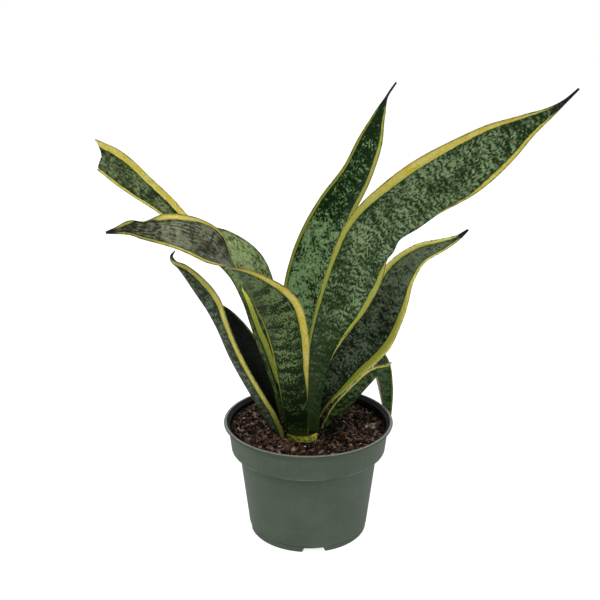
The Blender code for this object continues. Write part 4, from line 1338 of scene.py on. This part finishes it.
        # The margin's green is its yellow green made brighter: painted light on an inner face that turns from
        # the lamps.
        finish = LeafFinish(srgb(36, 57, 21), srgb(110, 124, 82), srgb(36, 54, 22), srgb(96, 112, 66),
                            green=srgb(214, 226, 92), band_width=7.0, band_length=7.0, softness=0.34)
        dress = Dress(
            gold=((0.0, 0.0, 0.0), (0.14, 0.0, 0.0), (0.2, 0.0, 0.6), (0.4, 0.0, 0.4), (0.44, 0.0, 0.0),
                  (0.6, 0.0, 0.0), (0.65, 1.0, 0.7), (0.68, 1.4, 0.8), (0.72, 1.4, 4.8), (0.94, 1.6, 5.6),
                  (1.0, 1.4, 3.4)),
            stripe=((0.0, 9.0, -9.0), (0.12, 2.0, 2.4), (0.2, -1.0, 3.2), (0.3, -0.4, 5.0),
                    (0.4, -4.4, 1.2), (0.44, -5.8, -1.6), (0.462, -5.6, -4.4), (0.475, -4.0, -7.0),
                    (1.0, 9.0, -9.0)),
            green=((0.0, 1.0, 1.0), (0.17, 1.0, 1.0), (0.28, 0.75, 0.75), (0.42, 0.6, 0.6),
                   (0.5, 0.6, 0.6), (0.65, 0.3, 0.1), (1.0, 0.1, 0.0)),
            lift=((0.0, -0.2, 0.0), (0.3, -0.1, 0.0), (0.42, 0.08, 0.0), (0.47, 0.16, 0.0),
                  (0.58, 0.12, 0.0), (0.66, 0.0, 0.0), (0.8, -0.02, 0.0), (1.0, 0.0, 0.0)),
            # depth brightens the inner face between 0.46 and 0.58 of the length: painted light.
            depth=((0.0, 1.0, 1.0), (0.4, 1.0, 1.0), (0.46, 1.74, 1.0), (0.58, 1.74, 1.0),
                   (0.66, 1.05, 1.0), (1.0, 1.0, 1.0)),
            tip=0.0)
        return Leaf("leaf_torn", dress, finish, seed=67.0)

    def left(self) -> Leaf:
        """Describe the short channelled leaf at the far left."""
        # The near black inner colours are painted shadow on the inner face of the channel.
        finish = LeafFinish(srgb(13, 19, 13), srgb(26, 32, 24), srgb(44, 57, 38), srgb(93, 106, 82),
                            gold=srgb(210, 198, 82), light=srgb(224, 214, 122), rim=srgb(150, 136, 84),
                            band_width=9.0, band_length=4.0, streaks=0.7)
        dress = Dress(
            gold=((0.0, 2.6, 0.5), (0.1, 3.4, 0.6), (0.2, 3.8, 0.6), (0.5, 4.2, 0.6), (0.8, 4.2, 0.6),
                  (0.95, 2.4, 0.5), (1.0, 0.6, 0.0)),
            green=((0.0, 1.0, 1.0), (0.12, 0.9, 1.0), (0.2, 0.45, 0.9), (0.3, 0.1, 0.9), (0.7, 0.05, 0.7),
                   (1.0, 0.4, 0.6)),
            # depth darkens both faces towards the foot: painted shade.
            depth=((0.0, 0.4, 0.4), (0.08, 0.5, 0.5), (0.16, 0.8, 0.8), (0.26, 1.0, 1.0), (1.0, 1.0, 1.0)),
            tip=8.0)
        return Leaf("leaf_left", dress, finish, seed=79.0)

    def short(self) -> Leaf:
        """Describe the short folded leaf low on the right."""
        finish = LeafFinish(srgb(30, 46, 16), srgb(84, 104, 60), srgb(30, 48, 16), srgb(84, 104, 60),
                            gold=srgb(212, 200, 104), light=srgb(224, 214, 132), rim_share=0.0,
                            band_width=9.0, band_length=4.0, streaks=0.7)
        dress = Dress(
            gold=((0.0, 0.6, 0.8), (0.2, 0.8, 1.0), (0.5, 1.0, 1.3), (0.7, 1.0, 2.0), (0.95, 0.8, 1.6),
                  (1.0, 0.2, 0.4)),
            green=((0.0, 0.8, 0.4), (0.3, 0.6, 0.1), (1.0, 0.4, 0.0)),
            tip=0.0,
            nips=(Nip(0.79, Side.RIGHT, -2.8, 0.15),))
        return Leaf("leaf_short", dress, finish, seed=83.0, steps=90)

    def hanging(self) -> Leaf:
        """Describe the leaf that arches over the back of the rim."""
        finish = LeafFinish(srgb(52, 84, 36), srgb(98, 130, 80), srgb(52, 84, 36), srgb(98, 130, 80),
                            gold=srgb(204, 184, 90), light=srgb(214, 200, 118), band_width=16.0,
                            band_length=4.0, streaks=0.4, softness=0.14)
        dress = Dress(
            gold=((0.0, 1.0, 1.0), (0.3, 2.6, 1.4), (0.55, 3.0, 1.0), (0.66, 9.0, 0.7), (0.78, 9.5, 0.7),
                  (0.88, 6.0, 0.7), (0.95, 2.0, 0.4), (1.0, 0.0, 0.0)),
            tip=3.0)
        return Leaf("leaf_hanging", dress, finish, seed=97.0)

    def build(self) -> list[bpy.types.Object]:
        """Make every leaf and the old leaf base.

        Returns:
            The pieces.
        """
        leaves = (self.tall(), self.wide(), self.right(), self.front(), self.torn(), self.left(),
                  self.short(), self.hanging())
        return [*(leaf.build(self.groups) for leaf in leaves), OldBase().build(self.groups)]


@dataclass
class OldBase:
    """The yellow-green crescent of an old leaf base at the foot of the plant.

    line gives x, y, the height of the top and the thickness along it. Above shade_line,
    a height at its left end and a rise per row, the crescent lies in the leaves' shade,
    which deepens over shade_fade. tones are its least tone and how much its crown, the
    patches and the place along it add.
    """

    line: tuple[Quad, ...] = (
        (-18.8, -18.0, 99.2, 1.4),
        (-17.4, -22.8, 100.2, 2.8),
        (-12.8, -26.8, 100.5, 4.0),
        (-5.8, -28.4, 100.6, 4.6),
        (0.8, -26.8, 100.5, 4.2),
        (5.1, -23.0, 100.3, 3.0),
        (7.2, -18.2, 99.4, 1.4),
    )
    bottom: float = 84.0
    shade_line: Pair = (97.0, 0.62)
    shade_fade: float = 1.6
    least_shade: float = 0.3
    bumpiness: float = 0.35
    bump_rates: Pair = (4.0, 2.0)
    crown: float = 0.45
    crown_roundness: float = 0.6
    tangent_reach: float = 0.1
    tones: Quad = (0.25, 0.4, 0.3, 0.06)
    patch_rate: float = 0.4
    steps: int = 90
    around: int = 14
    finish: CrumbFinish = CrumbFinish(srgb(84, 100, 18), srgb(204, 196, 74), warmth=0.0, size=2.6,
                                      roughness=0.5, bump=0.25)

    def build(self, groups: Groups) -> bpy.types.Object:
        """Make the crescent in place of its CAD node.

        Args:
            groups: The shared node groups.

        Returns:
            The crescent.
        """
        points = [Vector(row[:2]) for row in self.line]
        tops = [Vector(row[2:]) for row in self.line]
        knots = [float(number) for number in range(len(self.line))]
        least, by_crown, by_patch, by_place = self.tones
        vertices, tones, shades = [], [], []
        for step in range(self.steps + 1):
            along = knots[-1] * step / self.steps
            spot = between(knots, points, along)
            way = course(knots, points, along, self.tangent_reach)
            outward = Vector((way.y, -way.x, 0.0))
            top, thickness = between(knots, tops, along)
            for k in range(self.around):
                angle = math.pi * k / (self.around - 1)
                grid = Vector((along * self.bump_rates[0], angle * self.bump_rates[1], 5.0))
                rough = noise.noise(grid) * self.bumpiness
                side = math.cos(angle) * (thickness / 2 + rough)
                rise = math.sin(angle) ** self.crown_roundness * thickness * self.crown
                height = top - thickness * self.crown + rise + rough
                if k in (0, self.around - 1):
                    height = self.bottom
                place = Vector((spot.x, spot.y, 0.0)) + outward * side
                vertices.append(Vector((place.x, place.y, height)) * MM)
                patch = noise.noise(place * self.patch_rate)
                tones.append(least + by_crown * math.sin(angle) + by_patch * patch + by_place * along)
                above = height + rough * 2.0 - (self.shade_line[0] + self.shade_line[1] * along)
                shades.append(min(1.0, max(self.least_shade, 1.0 - above / self.shade_fade)))
        faces = ring_faces(self.steps + 1, self.around)
        faces.append(tuple(range(self.around)))
        faces.append(tuple(range(self.steps * self.around, (self.steps + 1) * self.around)))
        piece = finished("old_leaf_base", vertices, faces, {"tone": tones, "shade": shades})
        material = self.finish.build("old leaf base surface", groups)
        return dress_piece(piece, material, "sheath_green", "base_sheath")


# The pot's filling


@dataclass(frozen=True)
class Litter:
    """One kind of small piece that lies on the potting mix.

    sizes are the least and greatest half length in millimetres, shape is how long, wide
    and thick a piece is as shares of it, and sunk is how much of it is buried. The pieces
    lie within reach of centre.
    """

    name: str
    count: int
    sizes: Pair
    shape: Triple
    finish: CrumbFinish
    sunk: float = 0.35
    centre: Pair = (0.0, 0.0)
    reach: float = 66.8
    lean: float = 0.4


LITTER = (
    Litter("peat_crumbs", 2100, (0.5, 1.9), (1.0, 0.85, 0.75),
           CrumbFinish(srgb(4, 2, 1), srgb(100, 76, 60), size=3.2)),
    Litter("bark_bits", 340, (1.2, 3.8), (1.35, 0.7, 0.35),
           CrumbFinish(srgb(6, 3, 1), srgb(134, 106, 88), size=3.0, roughness=0.36, bump=1.0, shine=0.4),
           0.25),
    Litter("red_chips", 90, (1.0, 3.0), (1.4, 0.8, 0.3),
           CrumbFinish(srgb(52, 32, 26), srgb(146, 110, 98), srgb(104, 62, 54), 0.45, size=2.0), 0.2,
           (-32.0, -38.0), 17.0),
    Litter("olive_chips", 70, (1.0, 2.4), (1.6, 0.5, 0.3),
           CrumbFinish(srgb(34, 26, 14), srgb(126, 104, 70), srgb(92, 60, 38), 0.4, size=2.0), 0.2,
           (38.0, -42.0), 17.0),
    Litter("pale_chips", 120, (0.7, 2.0), (1.35, 0.7, 0.35),
           CrumbFinish(srgb(92, 74, 64), srgb(190, 172, 156), size=1.8, bump=0.8), 0.15),
    Litter("perlite", 60, (0.35, 0.8), (1.0, 0.9, 0.8),
           CrumbFinish(srgb(170, 162, 152), srgb(236, 232, 224), warmth=0.0, size=1.5, bump=0.4), 0.2),
    Litter("bark_plate", 1, (5.0, 5.4), (1.3, 0.6, 0.22),
           CrumbFinish(srgb(60, 52, 46), srgb(158, 148, 136), warmth=0.1, size=2.6, bump=0.9), 0.1,
           (56.0, -1.5), 0.8, 0.12),
)


@dataclass(frozen=True)
class Fibre:
    """The thin bent fibres that lie on the potting mix, in millimetres and radians.

    seat is how high a fibre lies, as a share of its thickness, and taper how thick its
    ends are and how much it gains by its middle.
    """

    count: int = 260
    joints: int = 7
    around: int = 5
    lengths: Pair = (4.0, 12.0)
    thicknesses: Pair = (0.16, 0.4)
    bend: float = 0.35
    arch: float = 0.9
    reach: float = 62.0
    clearance: float = 1.6
    seat: float = 0.6
    taper: Pair = (0.45, 0.55)
    finish: CrumbFinish = CrumbFinish(srgb(38, 28, 18), srgb(128, 108, 84), srgb(104, 62, 40), 0.4, size=2.0)


@dataclass
class Filling:
    """The potting mix: a lumpy bed, with crumbs, bark, fibres and perlite on it.

    hollow is the shallow dip round the foot of the plant: its depth, its reach and
    where it lies. lumps are waves, each with its height, its two rates and its start.
    wall gives the radii and heights below the bed's edge. Each painted shadow on the mix
    has its place, its reach and its strength: one right of the plant's foot and one by
    the right wall. clump_rates are those of the broad and the fine clumps, piece_tones
    the bounds of a scattered piece's tone, and piece_spread the least share of its size
    and how much chance adds. piece_room is how clear of the leaves it stays: a share of
    its size, and millimetres.
    """

    groups: Groups
    level: float = 99.0
    edge_radius: float = 69.3
    edge_gap: float = 1.5
    drop_radius: float = 69.5
    edge_drop: float = 0.8
    edge_power: int = 6
    tilt: float = 0.03
    hollow: Quad = (4.0, 42.0, -2.0, -13.0)
    lumps: tuple[Quad, ...] = (
        (0.45, 0.31, 0.27, 0.9),
        (0.45, 0.31, -0.27, 1.7),
        (0.54, 0.53, -0.47, 2.1),
    )
    rough_rate: float = 0.22
    rough_height: float = 1.2
    wall: tuple[Pair, ...] = (
        (67.45, 81.45), (60.55, 79.65), (52.15, 6.35), (51.25, 3.55), (50.05, 2.35))
    # Painted shadows on the mix: right of the plant's foot, and by the right wall.
    painted_shadows: tuple[Quad, ...] = ((20.0, -5.0, 17.0, 0.88), (67.0, 6.0, 9.0, 0.3))
    clump_share: float = 1.5
    clump_bounds: Pair = (0.3, 2.0)
    clump_rates: Pair = (0.17, 0.5)
    fine_clumps: float = 0.4
    brightness: float = 1.08
    bed_tones: Pair = (0.3, 0.3)
    bed_tone_rate: float = 300.0
    piece_tones: Pair = (0.1, 0.9)
    piece_spread: Pair = (0.75, 0.5)
    piece_room: Pair = (0.8, 0.6)
    knobbiness: float = 0.45
    knob_rate: float = 1.4
    knob_step: float = 3.7
    rings: int = 120
    segments: int = 300
    seed: int = 4
    finish: CrumbFinish = CrumbFinish(srgb(3, 2, 1), srgb(48, 36, 28), size=3.0)

    def height(self, x: float, y: float) -> float:
        """Find the height of the bed's surface.

        Args:
            x: Place across, in millimetres.
            y: Place in depth, in millimetres.

        Returns:
            The height in millimetres.
        """
        depth, radius, hollow_x, hollow_y = self.hollow
        reach = math.hypot(x - hollow_x, y - hollow_y) / radius
        edge = self.edge_drop * (math.hypot(x, y) / self.drop_radius) ** self.edge_power
        low = edge + depth * math.exp(-reach * reach)
        waves = sum(height * math.sin(x * wave_x + y * wave_y + phase)
                    for height, wave_x, wave_y, phase in self.lumps)
        spot = Vector((x * self.rough_rate, y * self.rough_rate, 1.0))
        return self.level - self.tilt * x - low + waves + noise.fractal(spot, 0.9, 2.2, 4) * self.rough_height

    def shade(self, x: float, y: float) -> float:
        """Find how bright the mix is at a place.

        Args:
            x: Place across, in millimetres.
            y: Place in depth, in millimetres.

        Returns:
            The brightness: about 1, and less where painted shadow lies.
        """
        least, most = self.clump_bounds
        broad, fine = self.clump_rates
        clump = noise.noise(Vector((x * broad, y * broad, 9.0)))
        clump += self.fine_clumps * noise.noise(Vector((x * fine, y * fine, 3.0)))
        light = min(most, max(least, self.brightness + self.clump_share * clump))
        # Painted shadow: darken the mix near each shadow's place.
        for across, deep, reach, strength in self.painted_shadows:
            light *= 1.0 - strength * math.exp(-(math.hypot(x - across, y - deep) / reach) ** 2)
        return light

    def bed(self) -> bpy.types.Object:
        """Make the bed, a closed solid with a finely lumpy top.

        Returns:
            The bed.
        """
        turns = [math.tau * k / self.segments for k in range(self.segments)]
        vertices = [Vector((0.0, 0.0, self.height(0.0, 0.0))) * MM]
        for ring in range(1, self.rings + 1):
            radius = self.edge_radius * ring / self.rings
            for turn in turns:
                x, y = radius * math.cos(turn), radius * math.sin(turn)
                vertices.append(Vector((x, y, self.height(x, y))) * MM)
        for radius, height in self.wall:
            vertices.extend(Vector((radius * math.cos(turn), radius * math.sin(turn), height)) * MM
                            for turn in turns)
        faces = [(0, 1 + k, 1 + (k + 1) % self.segments) for k in range(self.segments)]
        faces.extend(ring_faces(self.rings + len(self.wall), self.segments, 1))
        faces.append(tuple(range(len(vertices) - self.segments, len(vertices))))
        base, change = self.bed_tones
        marks = {"tone": [base + change * noise.noise(v * self.bed_tone_rate) for v in vertices],
                 "shade": [self.shade(v.x / MM, v.y / MM) for v in vertices]}
        material = self.finish.build("potting mix surface", self.groups)
        return dress_piece(finished("soil_bed", vertices, faces, marks), material, "potting_soil", "soil")

    def spot(self, draw: random.Random, litter: Litter) -> Pair | None:
        """Draw a place on the bed for a piece of litter.

        Args:
            draw: The source of chance.
            litter: The kind of piece.

        Returns:
            The place in millimetres, or None when it falls outside the pot.
        """
        radius = math.sqrt(draw.random()) * litter.reach
        angle = draw.random() * math.tau
        x = litter.centre[0] + radius * math.cos(angle)
        y = litter.centre[1] + radius * math.sin(angle)
        return (x, y) if math.hypot(x, y) < self.edge_radius - self.edge_gap else None

    def scatter(self, litter: Litter, keep_off: BVHTree) -> bpy.types.Object:
        """Scatter one kind of small piece over the bed.

        Args:
            litter: The kind of piece.
            keep_off: The leaves, which the pieces stay clear of.

        Returns:
            The scattered pieces, as one.
        """
        draw = random.Random(f"{self.seed} {litter.name}")
        template = bmesh.new()
        bmesh.ops.create_icosphere(template, subdivisions=3 if litter.count == 1 else 1, radius=1.0)
        knobs = [v.co.copy() for v in template.verts]
        corners = [tuple(v.index for v in face.verts) for face in template.faces]
        template.free()
        vertices, faces, tones, shades = [], [], [], []
        placed = 0
        while placed < litter.count:
            place = self.spot(draw, litter)
            size = draw.uniform(*litter.sizes) * (self.piece_spread[0] + self.piece_spread[1] * draw.random())
            turn = Euler((draw.gauss(0, litter.lean), draw.gauss(0, litter.lean), draw.random() * math.tau))
            tone = draw.uniform(*self.piece_tones)
            if place is None:
                continue
            centre = Vector((*place, self.height(*place) + size * litter.shape[2] * (1 - 2 * litter.sunk)))
            room = size * self.piece_room[0] + self.piece_room[1]
            if keep_off.find_nearest(centre * MM, room * MM)[0] is not None:
                continue
            grip = turn.to_matrix()
            start = len(vertices)
            for knob in knobs:
                grid = knob * self.knob_rate + Vector((placed * self.knob_step, 0.0, 0.0))
                bulge = 1.0 + self.knobbiness * noise.noise(grid)
                point = Vector([part * share for part, share in zip(knob, litter.shape)]) * (size * bulge)
                vertices.append((centre + grip @ point) * MM)
            tones.extend([tone] * len(knobs))
            shades.extend([self.shade(*place)] * len(knobs))
            faces.extend(tuple(start + corner for corner in face) for face in corners)
            placed += 1
        piece = finished(litter.name, vertices, faces, {"tone": tones, "shade": shades})
        return dress_piece(piece, litter.finish.build(f"{litter.name} surface", self.groups), "potting_soil")

    def strands(self, fibre: Fibre, keep_off: BVHTree) -> bpy.types.Object:
        """Lay thin bent fibres over the bed.

        Args:
            fibre: What the fibres are like.
            keep_off: The leaves, which the fibres stay clear of.

        Returns:
            The fibres, as one.
        """
        draw = random.Random(f"{self.seed} strands")
        joints, around = fibre.joints, fibre.around
        swells = [math.sin(math.pi * joint / (joints - 1)) for joint in range(joints)]
        vertices, faces, tones, shades = [], [], [], []
        placed = 0
        while placed < fibre.count:
            way, bend = draw.random() * math.tau, draw.gauss(0, fibre.bend)
            length, thick = draw.uniform(*fibre.lengths), draw.uniform(*fibre.thicknesses)
            tone = draw.uniform(*self.piece_tones)
            radius, angle = math.sqrt(draw.random()) * fibre.reach, draw.random() * math.tau
            x, y = radius * math.cos(angle), radius * math.sin(angle)
            line = []
            for swell in swells:
                place = Vector((x, y, self.height(x, y) + thick * fibre.seat + fibre.arch * swell ** 2))
                line.append((place, way, thick * (fibre.taper[0] + fibre.taper[1] * swell)))
                way += bend
                x += math.cos(way) * length / joints
                y += math.sin(way) * length / joints
            if math.hypot(x, y) > self.edge_radius - self.edge_gap:
                continue
            if any(keep_off.find_nearest(row[0] * MM, fibre.clearance * MM)[0] is not None for row in line):
                continue
            start = len(vertices)
            for point, way, slim in line:
                side = Vector((-math.sin(way), math.cos(way), 0.0))
                for k in range(around):
                    turn = math.tau * k / around
                    spoke = side * math.cos(turn) + Vector((0.0, 0.0, math.sin(turn)))
                    vertices.append((point + spoke * slim) * MM)
                tones.extend([tone] * around)
                shades.extend([self.shade(point.x, point.y)] * around)
            end = start + joints * around
            faces.extend(ring_faces(joints, around, start))
            faces.extend((tuple(range(start, start + around)), tuple(range(end - around, end))))
            placed += 1
        piece = finished("fibres", vertices, faces, {"tone": tones, "shade": shades})
        return dress_piece(piece, fibre.finish.build("fibres surface", self.groups), "potting_soil")

    def build(self, leaves: list[bpy.types.Object]) -> None:
        """Make the bed and everything that lies on it.

        Args:
            leaves: The pieces that stand in the bed.
        """
        self.bed()
        keep_off = tree_of(leaves)
        for litter in LITTER:
            self.scatter(litter, keep_off)
        self.strands(Fibre(), keep_off)


def tree_of(pieces: list[bpy.types.Object]) -> BVHTree:
    """Gather the faces of several pieces for nearness tests.

    Args:
        pieces: The pieces.

    Returns:
        The tree.
    """
    vertices, faces = [], []
    for piece in pieces:
        start = len(vertices)
        vertices.extend(v.co.copy() for v in piece.data.vertices)
        faces.extend(tuple(start + index for index in face.vertices) for face in piece.data.polygons)
    return BVHTree.FromPolygons(vertices, faces)


@dataclass
class Pot:
    """The nursery pot, whose CAD node keeps its shape."""

    groups: Groups
    finish: PlasticFinish = PlasticFinish()

    def build(self, node: bpy.types.Object) -> None:
        """Give the pot its finish.

        Args:
            node: The pot's CAD node.
        """
        material = self.finish.build("pot plastic surface", self.groups)
        node.data.materials.clear()
        node.data.materials.append(material)
        log.info("%s: dressed", node.name)


# The set


@dataclass
class Studio:
    """The floor, the lights and the camera.

    lamps have a name, a place, a width in metres and a power in watts, and shine at aim.
    floor_glow and sky_glow are how bright each is as the objects see it and as the
    camera sees it.
    """

    camera_place: Triple = (-0.0075, -0.824, 0.485)
    camera_pitch: float = 18.0
    lens: float = 60.0
    sensor: float = 36.0
    floor_size: float = 8.0
    floor_glow: Pair = (0.25, 0.85)
    sky_glow: Pair = (0.33, 1.0)
    aim: Triple = (0.0, 0.0, 0.2)
    lamps: tuple[tuple[str, Triple, float, float], ...] = (
        ("key", (-0.9, -1.0, 1.5), 0.9, 13.0),
        ("fill", (1.2, -0.9, 0.9), 1.0, 5.5),
        ("back", (0.2, 1.2, 1.4), 1.0, 5.0),
    )

    def light(self) -> None:
        """Hang the soft square lamps."""
        for name, place, size, power in self.lamps:
            data = bpy.data.lights.new(name, "AREA")
            data.shape = "SQUARE"
            data.size = size
            data.energy = power
            lamp = bpy.data.objects.new(name, data)
            lamp.location = place
            lamp.rotation_euler = (Vector(self.aim) - Vector(place)).to_track_quat("-Z", "Y").to_euler()
            bpy.context.scene.collection.objects.link(lamp)

    def floor(self) -> None:
        """Lay the pale floor."""
        half = self.floor_size / 2
        mesh = bpy.data.meshes.new("floor")
        mesh.from_pydata([(-half, -half, 0), (half, -half, 0), (half, half, 0), (-half, half, 0)], [],
                         [(0, 1, 2, 3)])
        floor = bpy.data.objects.new("floor", mesh)
        bpy.context.scene.collection.objects.link(floor)
        material, w, shader = new_material("pale floor")
        seen = w.add("ShaderNodeLightPath").outputs["Is Camera Ray"]
        w.fill(shader, Base_Color=(0.6, 0.6, 0.6), Roughness=0.9, Emission_Color=(1.0, 1.0, 1.0),
               Emission_Strength=w.span(seen, 0.0, 1.0, *self.floor_glow))
        mesh.materials.append(material)

    def build(self) -> None:
        """Set up the whole studio."""
        scene = bpy.context.scene
        data = bpy.data.cameras.new("camera")
        data.lens = self.lens
        data.sensor_width = self.sensor
        camera = bpy.data.objects.new("camera", data)
        camera.location = self.camera_place
        camera.rotation_euler = (math.radians(90.0 - self.camera_pitch), 0.0, 0.0)
        scene.collection.objects.link(camera)
        scene.camera = camera
        scene.view_settings.view_transform = "Standard"
        world = bpy.data.worlds.new("studio")
        world.use_nodes = True
        scene.world = world
        w = Wiring(world.node_tree)
        seen = w.add("ShaderNodeLightPath").outputs["Is Camera Ray"]
        w.fill(world.node_tree.nodes["Background"].inputs, Color=(1.0, 1.0, 1.0),
               Strength=w.span(seen, 0.0, 1.0, *self.sky_glow))
        self.floor()
        self.light()


def main() -> None:
    """Build the studio, the plant, its filling and its pot."""
    logging.basicConfig(level=logging.INFO, format="%(name)s %(message)s")
    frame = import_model()
    Studio().build()
    groups = Groups(Banding().build(), Margin().build(), Flecks().build())
    leaves = Plant(groups).build()
    Filling(groups).build(leaves)
    Pot(groups).build(frame["nodes"]["pot"])


if __name__ == "__main__":
    main()
